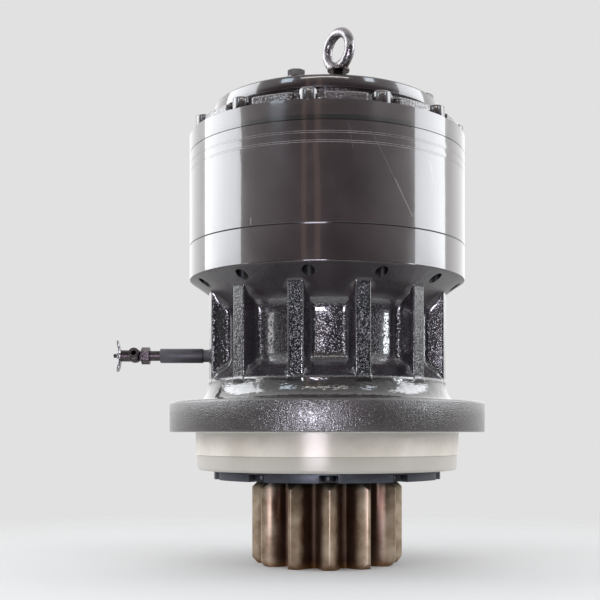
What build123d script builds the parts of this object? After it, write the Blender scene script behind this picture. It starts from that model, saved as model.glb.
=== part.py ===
from build123d import *
import os
from math import atan, cos, pi, radians, sin, sqrt, tan

# Excavator swing gearbox. Two planetary stages in one ring gear drive a heavy output pinion.
# The origin is on the gearbox axis, in the seating plane of the mounting flange. The pinion
# hangs below it, +Z points to the motor side, and -Y is the front. Lengths are in millimetres.

# Roller bearings of the output shaft
lower_bearing_bore = 65.0
lower_bearing_outer = 115.0
lower_bearing_width = 64.0
upper_bearing_bore = 55.0
upper_bearing_outer = 100.0
upper_bearing_width = 53.0
bearing_spread = 83.0
spacer_step = 7.0
bearing_ring_wall = 12.0
bearing_clearance = 0.05
roller_count = 14
roller_end_gap = 6.0
cage_wall = 5.0
cage_clearance = 0.3
cage_end_gap = 1.0

# Both planetary stages run in the same ring gear
gear_module = 5.0
gear_pressure_angle = 25.0
gear_thinning = 0.30
gear_dedendum = 1.25
ring_teeth = 52
planet_count = 3
first_sun_teeth = 14
first_planet_teeth = 19
second_sun_teeth = 20
second_planet_teeth = 16
first_face_width = 25.0
second_face_width = 37.0
planet_washer_thickness = 1.0
planet_washer_step = 4.0
planet_end_clearance = 0.3
bush_wall = 5.0
bush_clearance = 0.05
first_pin_radius = 15.0
second_pin_radius = 19.0
pin_fit = 0.02

# Carriers, and what holds the second one on the shaft
carrier_ring_gap = 4.0
carrier_chamfer = 2.0
second_hub_height = 21.0
second_hub_radius = 68.0
second_plate_thickness = 39.0
second_cheek_thickness = 10.0
carrier_gap = 8.4
first_plate_thickness = 16.0
first_cheek_thickness = 9.0
cheek_bore_radius = 60.0
web_inner_radius = 62.0
web_gap = 5.0
end_plate_radius = 62.0
end_plate_thickness = 12.0
end_plate_clearance = 0.3
end_screw_count = 3
end_screw_circle_radius = 30.0
end_screw_radius = 5.0
end_screw_length = 40.0
end_head_radius = 8.0
end_head_height = 10.0
thrust_pad_radius = 18.0
thrust_pad_thickness = 4.0
thrust_pad_gap = 0.3
input_pad_radius = 12.0
input_pad_recess = 4.0
pad_fit = 0.05

# Ribbed waist of the housing
core_wall = 14.5
rib_depth = 24.5
rib_count = 12
rib_width = 18.0
rib_start = 16.0
rib_corner = 3.0
rib_root = 7.5
rib_overlap = 3.0
rib_step = 0.3
pocket_fillet = 7.0
flare_height = 20.0
flare_run = 6.0
waist_band = 5.0
ledge_angle = 33.0
cone_rise = 35.5
upper_flange_height = 39.5
carrier_sink = 3.0
carrier_side_gap = 1.0
carrier_floor_gap = 7.0
bearing_shoulder = 8.0
lower_shoulder_step = 2.0
upper_shoulder_step = 4.0

# Spigot and mounting flange
spigot_step = 15.0
spigot_band = 27.0
spigot_length = 45.0
spigot_relief = 2.0
spigot_chamfer = 3.0
flange_thickness = 36.0
flange_chamfer = 2.0
frame_bolt_count = 12
frame_bolt_hole_radius = 9.0
frame_bolt_inset = 13.5
flange_margin = 17.5

# Ring gear casing and top cover
cavity_clearance = 1.25
register_wall = 5.75
register_depth = 4.0
register_clearance = 0.05
register_end_gap = 0.2
screw_inset = 12.0
casing_margin = 12.0
joint_chamfer = 0.8
train_headroom = 2.4
cover_flange_height = 21.5
cover_roof_height = 8.0
pad_step = 6.0
pad_height = 10.5
pad_pocket_radius = 16.0
pad_corner_fillet = 4.0
pad_rim_fillet = 2.5
neck_inset = 26.0
dowel_count = 2
dowel_radius = 5.0
dowel_length = 24.0
dowel_clearance = 0.02
dowel_offset = 15.0

# Adapter plate for the motor
plate_gap = 12.0
plate_overhang = 8.0
plate_thickness = 14.0
plate_chamfer = 1.5
motor_pilot_radius = 80.0
motor_bore_step = 8.0
motor_bolt_count = 4
motor_bolt_inset = 20.0
motor_bolt_hole_radius = 5.1
motor_bolt_start = 45.0
motor_land_height = 1.0
motor_land_gap = 0.5

# Cover screws, M14 socket heads
cover_screw_count = 12
cover_screw_start = -7.5
cover_screw_radius = 7.0
cover_screw_grip = 39.0
cover_head_radius = 10.5
cover_socket_width = 12.0
cover_spot_radius = 13.0
cover_spot_depth = 0.5
screw_clearance = 0.5
thread_clearance = 0.05

# Plate bolts, M12 hexagon heads on spring washers, and the lifting eye bolt
plate_bolt_count = 4
plate_bolt_start = 73.5
plate_bolt_inset = 8.0
plate_bolt_radius = 6.0
plate_bolt_reach = 14.0
plate_bolt_drill = 2.0
plate_head_width = 19.0
plate_head_height = 7.5
spring_washer_radius = 10.5
spring_washer_thickness = 2.5
spring_washer_split = 2.0
eye_angle = -84.1
eye_inset = 15.0
eye_lift = 7.0
eye_thread_end = 1.0
eye_collar_radius = 12.5
eye_collar_height = 4.0
eye_neck_step = 1.5
eye_neck_sink = 1.0
eye_neck_taper = 20.0
eye_hole_radius = 15.0
eye_bar_radius = 4.7
eye_centre_height = 24.0
eye_turn = -50.0

# Bearing retainer, its screws and the oil seal
retainer_thickness = 11.0
retainer_register = 4.0
retainer_clearance = 0.1
retainer_margin = 10.5
retainer_screw_count = 10
retainer_screw_start = 18.7
retainer_screw_inset = 11.5
retainer_screw_radius = 5.0
retainer_screw_length = 30.0
retainer_head_radius = 8.0
retainer_head_sink = 1.0
retainer_socket_width = 8.0
retainer_slot_width = 21.0
retainer_slot_floor = 2.5
seal_land_step = 9.0
seal_section = 16.0
seal_clearance = 0.05
seal_fit = 0.05

# Output pinion and shaft
pinion_teeth = 12
pinion_module = 12.0
pinion_shift = 0.6
pinion_dedendum = 1.25
pinion_foot = 0.35
pinion_pressure_angle = 20.0
pinion_gap = 3.0
pinion_length = 99.0
pinion_chamfer = 7.0
pinion_overcut = 1.0
pinion_tooth_angle = 2.0
spline_teeth = 16
spline_root_radius = 46.0
spline_tip_radius = 51.0
spline_fit = 0.08
spline_root_share = 0.30
spline_tip_share = 0.20
shaft_centre_radius = 8.0
shaft_centre_depth = 25.0
shaft_centre_taper = 12.0

# Input sun, with the female spline that takes the motor shaft
input_spline_teeth = 13
input_spline_root_radius = 18.0
input_spline_tip_radius = 15.2
input_hub_radius = 27.0
input_hub_sink = 4.0

# Drain pipe and cock, on the left side
drain_drop = 13.0
drain_boss_radius = 14.0
drain_boss_length = 6.5
drain_boss_root = 5.0
drain_thread_depth = 16.0
drain_thread_radius = 6.6
drain_thread_gap = 1.0
drain_passage_radius = 4.0
drain_neck_radius = 7.6
drain_neck_length = 17.0
drain_hexagon_width = 19.0
drain_hexagon_length = 8.0
drain_pipe_radius = 8.8
drain_pipe_length = 52.0
cock_stub_radius = 6.2
cock_stub_length = 13.0
cock_bore_radius = 3.0
cock_hexagon_length = 10.0
cock_hexagon_width = 18.0
cock_neck_length = 8.0
cock_ball_radius = 8.6
cock_outlet_radius = 6.5
cock_outlet_length = 12.0
cock_outlet_tilt = 15.0
cock_collar_radius = 7.0
cock_collar_length = 17.0
cock_plug_radius = 4.0
cock_plug_end = 1.0
cock_plug_bore = 2.0
cock_plug_port = 1.8
cock_plug_clearance = 0.05
cock_stem_radius = 2.4
cock_stem_length = 9.0
handle_thickness = 2.5
handle_span = 39.0
handle_hub_radius = 5.5
handle_waist = 3.5
handle_tip_radius = 6.0
handle_flat = 6.0
handle_bend = 12.0
handle_nut_width = 7.0
handle_nut_length = 2.5


def involute(radius, base_radius):
    """The polar angle that an involute has turned through at a radius, in radians."""
    roll = sqrt(max((radius / base_radius) ** 2 - 1, 0))
    return roll - atan(roll)


def on_circle(radius, angle):
    """A point at a radius and an angle in degrees."""
    return (radius * cos(radians(angle)), radius * sin(radians(angle)))


def tooth_half_angle(radius, teeth, module, pressure, thickness):
    """Half the angle that an external tooth takes at a radius, in degrees."""
    pitch_radius = module * teeth / 2
    base_radius = pitch_radius * cos(radians(pressure))
    at_pitch = thickness / 2 / pitch_radius + involute(pitch_radius, base_radius)
    return (at_pitch - involute(radius, base_radius)) * 180 / pi


def spur_gear(teeth, start, thinning=0.0, growth=0.0):
    """An external gear outline with a tooth centred on the start angle, grown for a hole that takes it."""
    pitch_radius = gear_module * teeth / 2
    root_radius = pitch_radius - gear_dedendum * gear_module + growth
    tip_radius = pitch_radius + gear_module + growth
    thickness = pi * gear_module / 2 - thinning + growth
    flank = [
        (r, tooth_half_angle(r, teeth, gear_module, gear_pressure_angle, thickness))
        for r in (root_radius, pitch_radius, tip_radius)
    ]
    corners = []
    for tooth in range(teeth):
        middle = start + 360 * tooth / teeth
        corners += [on_circle(r, middle - half) for r, half in flank]
        corners += [on_circle(r, middle + half) for r, half in reversed(flank)]
    with BuildSketch() as outline:
        with BuildLine():
            Polyline(*corners, close=True)
        make_face()
    return outline.sketch


def internal_gear(teeth, start, thinning=0.0):
    """The hole of an internal gear, with a tooth centred on the start angle."""
    pitch_radius = gear_module * teeth / 2
    tip_radius = pitch_radius - gear_module
    root_radius = pitch_radius + gear_dedendum * gear_module
    space = pi * gear_module / 2 + thinning
    pitch = 360 / teeth
    flank = [
        (r, tooth_half_angle(r, teeth, gear_module, gear_pressure_angle, space))
        for r in (tip_radius, (tip_radius + pitch_radius) / 2, pitch_radius, root_radius)
    ]
    corners = []
    for tooth in range(teeth):
        middle = start + (tooth + 0.5) * pitch
        corners += [on_circle(r, middle - half) for r, half in flank]
        corners += [on_circle(r, middle + half) for r, half in reversed(flank)]
    with BuildSketch() as outline:
        with BuildLine():
            Polyline(*corners, close=True)
        make_face()
    return outline.sketch


def straight_spline(teeth, root_radius, tip_radius, growth=0.0):
    """A spline outline with straight tapered teeth, grown by a clearance for the hole that takes it."""
    pitch = 360 / teeth
    root = root_radius + growth
    tip = tip_radius + growth
    widen = growth / tip_radius * 180 / pi
    corners = []
    for tooth in range(teeth):
        middle = tooth * pitch
        at_root = spline_root_share * pitch + widen
        at_tip = spline_tip_share * pitch + widen
        corners += [on_circle(root, middle - at_root), on_circle(tip, middle - at_tip)]
        corners += [on_circle(tip, middle + at_tip), on_circle(root, middle + at_root)]
    with BuildSketch() as outline:
        with BuildLine():
            Polyline(*corners, close=True)
        make_face()
    return outline.sketch


def pinion_outline():
    """The output pinion's outline: involute flanks as arcs and round spaces between the teeth."""
    pitch_radius = pinion_module * pinion_teeth / 2
    tip = pitch_radius + pinion_module * (1 + pinion_shift)
    root = pitch_radius - pinion_module * (pinion_dedendum - pinion_shift)
    foot = root + pinion_foot * pinion_module
    thickness = pinion_module * (pi / 2 + 2 * pinion_shift * tan(radians(pinion_pressure_angle)))
    half = {
        r: tooth_half_angle(r, pinion_teeth, pinion_module, pinion_pressure_angle, thickness)
        for r in (foot, (foot + tip) / 2, tip)
    }
    waist = (foot + tip) / 2
    pitch = 360 / pinion_teeth
    with BuildSketch() as outline:
        with BuildLine():
            for tooth in range(pinion_teeth):
                middle = pinion_tooth_angle + tooth * pitch
                rise = [on_circle(r, middle - half[r]) for r in (foot, waist, tip)]
                fall = [on_circle(r, middle + half[r]) for r in (tip, waist, foot)]
                following = on_circle(foot, middle + pitch - half[foot])
                ThreePointArc(*rise)
                Line(rise[-1], fall[0])
                ThreePointArc(*fall)
                ThreePointArc(fall[-1], on_circle(root, middle + pitch / 2), following)
        make_face()
    return outline.sketch


def finish(piece, name):
    """Label a finished piece and write it."""
    piece.part.label = name
    export_step(piece.part, f"parts/{name}.step")


os.makedirs("parts", exist_ok=True)

# Levels, from the spigot up to the motor
lower_bearing_floor = retainer_register - spigot_length
lower_bearing_top = lower_bearing_floor + lower_bearing_width
upper_bearing_floor = lower_bearing_top + bearing_spread
upper_bearing_top = upper_bearing_floor + upper_bearing_width
carrier_cavity_floor = upper_bearing_top + carrier_floor_gap
second_carrier_floor = upper_bearing_top + second_hub_height
second_cheek_bottom = second_carrier_floor + second_plate_thickness
planet_end_gap = planet_washer_thickness + planet_end_clearance
second_gear_floor = second_cheek_bottom + planet_end_gap
end_plate_top = second_gear_floor - thrust_pad_gap - thrust_pad_thickness
shaft_end_height = end_plate_top - end_plate_thickness
second_cheek_floor = second_gear_floor + second_face_width + planet_end_gap
second_carrier_top = second_cheek_floor + second_cheek_thickness
first_carrier_floor = second_carrier_top + carrier_gap
first_plate_top = first_carrier_floor + first_plate_thickness
first_gear_floor = first_plate_top + planet_end_gap
first_cheek_floor = first_gear_floor + first_face_width + planet_end_gap
first_carrier_top = first_cheek_floor + first_cheek_thickness
housing_top = second_cheek_bottom + carrier_sink
cone_top = housing_top - upper_flange_height
core_top = cone_top - cone_rise
flare_top = flange_thickness + flare_height
waist_top = flare_top + waist_band
ring_gear_top = first_carrier_top + train_headroom
ring_gear_height = ring_gear_top - housing_top
cover_roof = ring_gear_top + cover_roof_height
cover_flange_top = ring_gear_top + cover_flange_height
screw_seat = cover_flange_top - cover_spot_depth
pad_top = cover_flange_top + pad_height
plate_bottom = pad_top + plate_gap
plate_top = plate_bottom + plate_thickness
motor_face_height = plate_top + motor_land_height
input_top = plate_bottom - input_hub_sink
retainer_floor = -spigot_length - retainer_thickness
pinion_top = retainer_floor - pinion_gap
drain_height = upper_bearing_floor - drain_drop

# Radii, from the bearings and the gears outwards
lower_shoulder_radius = lower_bearing_outer - bearing_ring_wall + lower_shoulder_step
upper_shoulder_radius = upper_bearing_outer - bearing_ring_wall + upper_shoulder_step
core_radius = lower_shoulder_radius + core_wall
waist_radius = core_radius + rib_depth
flare_radius = waist_radius + flare_run
spigot_radius = waist_radius + spigot_step
frame_bolt_circle_radius = spigot_radius + frame_bolt_inset
flange_radius = frame_bolt_circle_radius + flange_margin
ledge_top = waist_top + rib_depth * tan(radians(ledge_angle))
carrier_radius = gear_module * (ring_teeth / 2 - 1) - carrier_ring_gap
ring_root_radius = gear_module * (ring_teeth / 2 + gear_dedendum)
cavity_radius = ring_root_radius + cavity_clearance
register_radius = ring_root_radius + register_wall
cover_screw_circle_radius = register_radius + screw_inset
casing_radius = cover_screw_circle_radius + casing_margin
pad_radius = casing_radius - pad_step
neck_radius = cover_screw_circle_radius - neck_inset
plate_radius = neck_radius + plate_overhang
plate_bolt_circle_radius = neck_radius - plate_bolt_inset
eye_circle_radius = plate_radius - eye_inset
motor_land_radius = eye_circle_radius - eye_collar_radius - motor_land_gap
motor_bolt_circle_radius = motor_pilot_radius + motor_bolt_inset
cover_bore_radius = motor_pilot_radius + motor_bore_step
spacer_radius = lower_bearing_bore + spacer_step
seal_land_radius = lower_bearing_bore + seal_land_step
seal_radius = seal_land_radius + seal_section
retainer_screw_circle_radius = lower_bearing_outer + retainer_screw_inset
retainer_radius = retainer_screw_circle_radius + retainer_margin
first_centre = gear_module * (first_sun_teeth + first_planet_teeth) / 2
second_centre = gear_module * (second_sun_teeth + second_planet_teeth) / 2

# Distances along the drain line, from the gearbox axis
drain_boss_reach = core_radius + drain_boss_length
drain_pipe_start = drain_boss_reach + drain_hexagon_length + drain_neck_length
drain_pipe_end = drain_pipe_start + drain_pipe_length
cock_hexagon_start = drain_pipe_end + cock_stub_length
cock_hexagon_end = cock_hexagon_start + cock_hexagon_length
cock_ball_reach = cock_hexagon_end + cock_neck_length
cock_collar_end = cock_ball_reach + cock_collar_length


def cone_height(radius):
    """The height of the cone under the casing at a radius."""
    return core_top + (radius - core_radius) * cone_rise / (casing_radius - core_radius)


planet_angles = [90 + 360 * i / planet_count for i in range(planet_count)]


def sun_angle(sun_teeth, planet_teeth):
    """The angle of a sun's tooth that puts the sun, the planets and the ring gear in mesh."""
    ring_space = 180 / ring_teeth
    first = planet_angles[0]
    turned = 180 * (planet_teeth + 1) - (ring_space - first) * ring_teeth
    return first + turned / sun_teeth


def planet_angle(sun_teeth, planet_teeth, place):
    """The angle of a planet's tooth, from its sun's teeth and its place round the sun."""
    offset = (sun_angle(sun_teeth, planet_teeth) - place) * sun_teeth / planet_teeth
    return place + 180 - offset + 180 / planet_teeth


def cover_screw_places():
    """The places of the cover screws."""
    return PolarLocations(cover_screw_circle_radius, cover_screw_count, start_angle=cover_screw_start)


def plate_bolt_places(circle_radius):
    """Places on a circle at the plate bolts' angles."""
    return PolarLocations(circle_radius, plate_bolt_count, start_angle=plate_bolt_start)


def retainer_screw_places():
    """The places of the retainer screws."""
    return PolarLocations(
        retainer_screw_circle_radius, retainer_screw_count, start_angle=retainer_screw_start
    )


def dowel_places():
    """The places of the casing dowels, between two cover screws."""
    return PolarLocations(
        cover_screw_circle_radius, dowel_count, start_angle=cover_screw_start + dowel_offset
    )


# One rib of the waist, on the right
with BuildPart() as rib:
    with BuildSketch(Plane.XZ):
        with BuildLine():
            Polyline(
                (core_radius - rib_root, waist_top - rib_overlap),
                (waist_radius - rib_step, waist_top - rib_overlap),
                (waist_radius - rib_step, cone_height(waist_radius)),
                (core_radius - rib_root, cone_height(waist_radius)),
                close=True,
            )
        make_face()
    extrude(amount=rib_width / 2, both=True)

# Lower housing: flange, spigot, ribbed waist, cone and both bearing seats in one casting
with BuildPart() as lower_housing:
    with BuildSketch(Plane.XZ):
        with BuildLine():
            Polyline(
                (flare_radius, flange_thickness),
                (flange_radius - flange_chamfer, flange_thickness),
                (flange_radius, flange_thickness - flange_chamfer),
                (flange_radius, 0),
                (spigot_radius, 0),
                (spigot_radius, -spigot_band),
                (spigot_radius - spigot_relief, -spigot_band),
                (spigot_radius - spigot_relief, spigot_chamfer - spigot_length),
                (spigot_radius - spigot_relief - spigot_chamfer, -spigot_length),
                (lower_bearing_outer, -spigot_length),
                (lower_bearing_outer, lower_bearing_top),
                (lower_shoulder_radius, lower_bearing_top),
                (lower_shoulder_radius, upper_bearing_floor - bearing_shoulder),
                (upper_shoulder_radius, upper_bearing_floor - bearing_shoulder),
                (upper_shoulder_radius, upper_bearing_floor),
                (upper_bearing_outer, upper_bearing_floor),
                (upper_bearing_outer, carrier_cavity_floor),
                (carrier_radius + carrier_side_gap, carrier_cavity_floor),
                (cavity_radius, second_carrier_floor),
                (cavity_radius, housing_top - register_depth),
                (register_radius + register_clearance, housing_top - register_depth),
                (register_radius + register_clearance, housing_top),
                (casing_radius, housing_top),
                (casing_radius, cone_top),
                (core_radius, core_top),
                (core_radius, ledge_top),
                (waist_radius, waist_top),
                (waist_radius, flare_top),
            )
            flare_arc = (flare_height**2 + flare_run**2) / 2 / flare_run
            RadiusArc((waist_radius, flare_top), (flare_radius, flange_thickness), flare_arc)
        make_face()
    revolve(axis=Axis.Z)
    with PolarLocations(0, rib_count, start_angle=rib_start):
        add(rib.part)
    rib_feet = lower_housing.edges().filter_by(Axis.Z).filter_by(
        lambda edge: abs(Vector(edge.center().X, edge.center().Y, 0).length - core_radius) < rib_step
    )
    fillet(rib_feet, pocket_fillet)
    rib_corners = lower_housing.edges().filter_by(Axis.Z).filter_by(
        lambda edge: Vector(edge.center().X, edge.center().Y, 0).length > waist_radius - rib_step
        and waist_top < edge.center().Z < cone_top
    )
    fillet(rib_corners, rib_corner)
    # Boss and passage for the drain pipe, in the pocket on the left
    with BuildSketch(Plane.YZ.offset(-drain_boss_reach)):
        with Locations((0, drain_height)):
            Circle(drain_boss_radius)
    extrude(amount=drain_boss_reach - core_radius + drain_boss_root)
    with BuildSketch(Plane.YZ.offset(-drain_boss_reach)):
        with Locations((0, drain_height)):
            Circle(drain_thread_radius)
    extrude(amount=drain_thread_depth, mode=Mode.SUBTRACT)
    with BuildSketch(Plane.YZ.offset(-drain_boss_reach)):
        with Locations((0, drain_height)):
            Circle(drain_passage_radius)
    extrude(amount=drain_boss_reach - lower_shoulder_radius + drain_boss_root, mode=Mode.SUBTRACT)
    # Frame bolt holes through the flange
    with BuildSketch(Plane.XY):
        with PolarLocations(frame_bolt_circle_radius, frame_bolt_count):
            Circle(frame_bolt_hole_radius)
    extrude(amount=flange_thickness, mode=Mode.SUBTRACT)
    # Through-tapped holes for the cover screws, which come out under the cone
    with BuildSketch(Plane.XY.offset(housing_top)):
        with cover_screw_places():
            Circle(cover_screw_radius + thread_clearance)
    extrude(amount=core_top - housing_top, mode=Mode.SUBTRACT)
    # Dowel holes in the top face
    with BuildSketch(Plane.XY.offset(housing_top)):
        with dowel_places():
            Circle(dowel_radius + dowel_clearance)
    extrude(amount=-dowel_length / 2, mode=Mode.SUBTRACT)
    # Blind tapped holes for the retainer screws
    with BuildSketch(Plane.XY.offset(-spigot_length)):
        with retainer_screw_places():
            Circle(retainer_screw_radius + thread_clearance)
    extrude(amount=retainer_screw_length, mode=Mode.SUBTRACT)
finish(lower_housing, "lower_housing")

# Ring gear casing: both stages' internal teeth in one forged ring, with a register at each end
with BuildPart() as ring_gear:
    ring_floor = housing_top - register_depth + register_end_gap
    ring_roof = ring_gear_top + register_depth - register_end_gap
    with BuildSketch(Plane.XZ):
        with BuildLine():
            Polyline(
                (0, ring_floor),
                (register_radius, ring_floor),
                (register_radius, housing_top),
                (casing_radius - joint_chamfer, housing_top),
                (casing_radius, housing_top + joint_chamfer),
                (casing_radius, ring_gear_top - joint_chamfer),
                (casing_radius - joint_chamfer, ring_gear_top),
                (register_radius, ring_gear_top),
                (register_radius, ring_roof),
                (0, ring_roof),
                close=True,
            )
        make_face()
    revolve(axis=Axis.Z)
    with BuildSketch(Plane.XY.offset(ring_floor)):
        add(internal_gear(ring_teeth, 0, gear_thinning))
    extrude(amount=ring_roof - ring_floor, mode=Mode.SUBTRACT)
    with BuildSketch(Plane.XY.offset(housing_top)):
        with cover_screw_places():
            Circle(cover_screw_radius + screw_clearance)
    extrude(amount=ring_gear_height, mode=Mode.SUBTRACT)
    for joint, inwards in ((housing_top, 1), (ring_gear_top, -1)):
        with BuildSketch(Plane.XY.offset(joint)):
            with dowel_places():
                Circle(dowel_radius + dowel_clearance)
        extrude(amount=inwards * dowel_length / 2, mode=Mode.SUBTRACT)
finish(ring_gear, "ring_gear")

# Top cover: a cast lid with pads between the screw heads and a neck for the adapter plate
with BuildPart() as top_cover:
    with BuildSketch(Plane.XZ):
        with BuildLine():
            Polyline(
                (cover_bore_radius, cover_roof),
                (cavity_radius, cover_roof),
                (cavity_radius, ring_gear_top + register_depth),
                (register_radius + register_clearance, ring_gear_top + register_depth),
                (register_radius + register_clearance, ring_gear_top),
                (casing_radius, ring_gear_top),
                (casing_radius, cover_flange_top),
                (neck_radius, cover_flange_top),
                (neck_radius, plate_bottom),
                (cover_bore_radius, plate_bottom),
                close=True,
            )
        make_face()
    revolve(axis=Axis.Z)
    # Pads between the screw seats, rounded as they come from the mould
    with BuildSketch(Plane.XY.offset(cover_flange_top)):
        Circle(pad_radius)
        Circle(cover_bore_radius, mode=Mode.SUBTRACT)
        with cover_screw_places():
            Circle(pad_pocket_radius, mode=Mode.SUBTRACT)
        pad_corners = [v for v in vertices() if v.center().length > neck_radius]
        fillet(pad_corners, pad_corner_fillet)
    extrude(amount=pad_height)
    pad_rims = top_cover.edges().filter_by_position(Axis.Z, pad_top, pad_top).filter_by(
        lambda edge: Vector(edge.center().X, edge.center().Y, 0).length > neck_radius
    )
    fillet(pad_rims, pad_rim_fillet)
    with BuildSketch(Plane.XY.offset(cover_flange_top)):
        with cover_screw_places():
            Circle(cover_spot_radius)
    extrude(amount=screw_seat - cover_flange_top, mode=Mode.SUBTRACT)
    with BuildSketch(Plane.XY.offset(ring_gear_top)):
        with dowel_places():
            Circle(dowel_radius + dowel_clearance)
    extrude(amount=dowel_length / 2, mode=Mode.SUBTRACT)
    with BuildSketch(Plane.XY.offset(ring_gear_top)):
        with cover_screw_places():
            Circle(cover_screw_radius + screw_clearance)
    extrude(amount=cover_flange_height, mode=Mode.SUBTRACT)
    with BuildSketch(Plane.XY.offset(plate_bottom)):
        with plate_bolt_places(plate_bolt_circle_radius):
            Circle(plate_bolt_radius + thread_clearance)
    extrude(amount=-plate_bolt_reach - plate_bolt_drill, mode=Mode.SUBTRACT)
finish(top_cover, "top_cover")

# Adapter plate: takes the motor's pilot and bolts, with a raised land for its flange
with BuildPart() as adapter_plate:
    with BuildSketch(Plane.XZ):
        with BuildLine():
            Polyline(
                (motor_pilot_radius, plate_bottom),
                (plate_radius, plate_bottom),
                (plate_radius, plate_top - plate_chamfer),
                (plate_radius - plate_chamfer, plate_top),
                (motor_land_radius, plate_top),
                (motor_land_radius, motor_face_height),
                (motor_pilot_radius, motor_face_height),
                close=True,
            )
        make_face()
    revolve(axis=Axis.Z)
    with BuildSketch(Plane.XY.offset(motor_face_height)):
        with plate_bolt_places(plate_bolt_circle_radius):
            Circle(plate_bolt_radius + screw_clearance)
        with PolarLocations(motor_bolt_circle_radius, motor_bolt_count, start_angle=motor_bolt_start):
            Circle(motor_bolt_hole_radius)
        with Locations(on_circle(eye_circle_radius, eye_angle)):
            Circle(plate_bolt_radius + thread_clearance)
    extrude(amount=plate_bottom - motor_face_height, mode=Mode.SUBTRACT)
finish(adapter_plate, "adapter_plate")

# Dowels across both casing joints
with BuildPart() as casing_dowels:
    for joint in (housing_top, ring_gear_top):
        with BuildSketch(Plane.XY.offset(joint - dowel_length / 2 + register_end_gap)):
            with dowel_places():
                Circle(dowel_radius)
        extrude(amount=dowel_length - 2 * register_end_gap)
finish(casing_dowels, "casing_dowels")

# Cover screws: M14 socket heads through the cover and ring gear into the housing
with BuildPart() as cover_screws:
    with BuildSketch(Plane.XY.offset(screw_seat)):
        with cover_screw_places():
            Circle(cover_head_radius)
    extrude(amount=2 * cover_screw_radius)
    with BuildSketch(Plane.XY.offset(screw_seat)):
        with cover_screw_places():
            Circle(cover_screw_radius)
    extrude(amount=housing_top - cover_screw_grip - screw_seat)
    with BuildSketch(Plane.XY.offset(screw_seat + 2 * cover_screw_radius)):
        with cover_screw_places():
            RegularPolygon(cover_socket_width / 2, 6, major_radius=False)
    extrude(amount=-cover_screw_radius, mode=Mode.SUBTRACT)
finish(cover_screws, "cover_screws")

# Plate bolts and their spring washers
with BuildPart() as plate_bolts:
    head_floor = plate_top + spring_washer_thickness
    with BuildSketch(Plane.XY.offset(head_floor)):
        with plate_bolt_places(plate_bolt_circle_radius):
            RegularPolygon(plate_head_width / 2, 6, major_radius=False)
    extrude(amount=plate_head_height)
    with BuildSketch(Plane.XY.offset(head_floor)):
        with plate_bolt_places(plate_bolt_circle_radius):
            Circle(plate_bolt_radius)
    extrude(amount=plate_bottom - plate_bolt_reach - head_floor)
finish(plate_bolts, "plate_bolts")

with BuildPart() as plate_spring_washers:
    with BuildSketch(Plane.XY.offset(plate_top)):
        with plate_bolt_places(plate_bolt_circle_radius):
            Circle(spring_washer_radius)
            Circle(plate_bolt_radius + screw_clearance, mode=Mode.SUBTRACT)
        with plate_bolt_places(plate_bolt_circle_radius + (spring_washer_radius + plate_bolt_radius) / 2):
            Rectangle(spring_washer_radius, spring_washer_split, mode=Mode.SUBTRACT)
    extrude(amount=spring_washer_thickness)
finish(plate_spring_washers, "plate_spring_washers")

# Lifting eye bolt, screwed into the adapter plate with part of its thread showing
eye_x, eye_y = on_circle(eye_circle_radius, eye_angle)
eye_collar_floor = plate_top + eye_lift
eye_centre = eye_collar_floor + eye_centre_height
eye_ring_radius = eye_hole_radius + eye_bar_radius
with BuildPart() as eye_bolt:
    with BuildSketch(Plane((eye_x, eye_y, eye_collar_floor), x_dir=(1, 0, 0), z_dir=(0, 0, -1))):
        Circle(plate_bolt_radius)
    extrude(amount=eye_lift + plate_thickness - eye_thread_end)
    with BuildSketch(Plane((eye_x, eye_y, eye_collar_floor))):
        Circle(eye_collar_radius)
    extrude(amount=eye_collar_height)
    with BuildSketch(Plane((eye_x, eye_y, eye_collar_floor + eye_collar_height))):
        Circle(eye_collar_radius - eye_neck_step)
    neck_height = eye_centre_height - eye_collar_height - eye_hole_radius - eye_neck_sink
    extrude(amount=neck_height, taper=eye_neck_taper)
    across_ring = (sin(radians(eye_turn)), -cos(radians(eye_turn)), 0)
    with Locations(Plane((eye_x, eye_y, eye_centre), x_dir=(0, 0, 1), z_dir=across_ring)):
        Torus(eye_ring_radius, eye_bar_radius)
finish(eye_bolt, "eye_bolt")


def bearing_sizes(bore, outer):
    """The inner ring's track, the outer ring's track and the rollers' radius and circle."""
    inner_track = bore + bearing_ring_wall
    outer_track = outer - bearing_ring_wall
    roller_radius = (outer_track - inner_track) / 2 - bearing_clearance
    return inner_track, outer_track, roller_radius, (outer_track + inner_track) / 2


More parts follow.
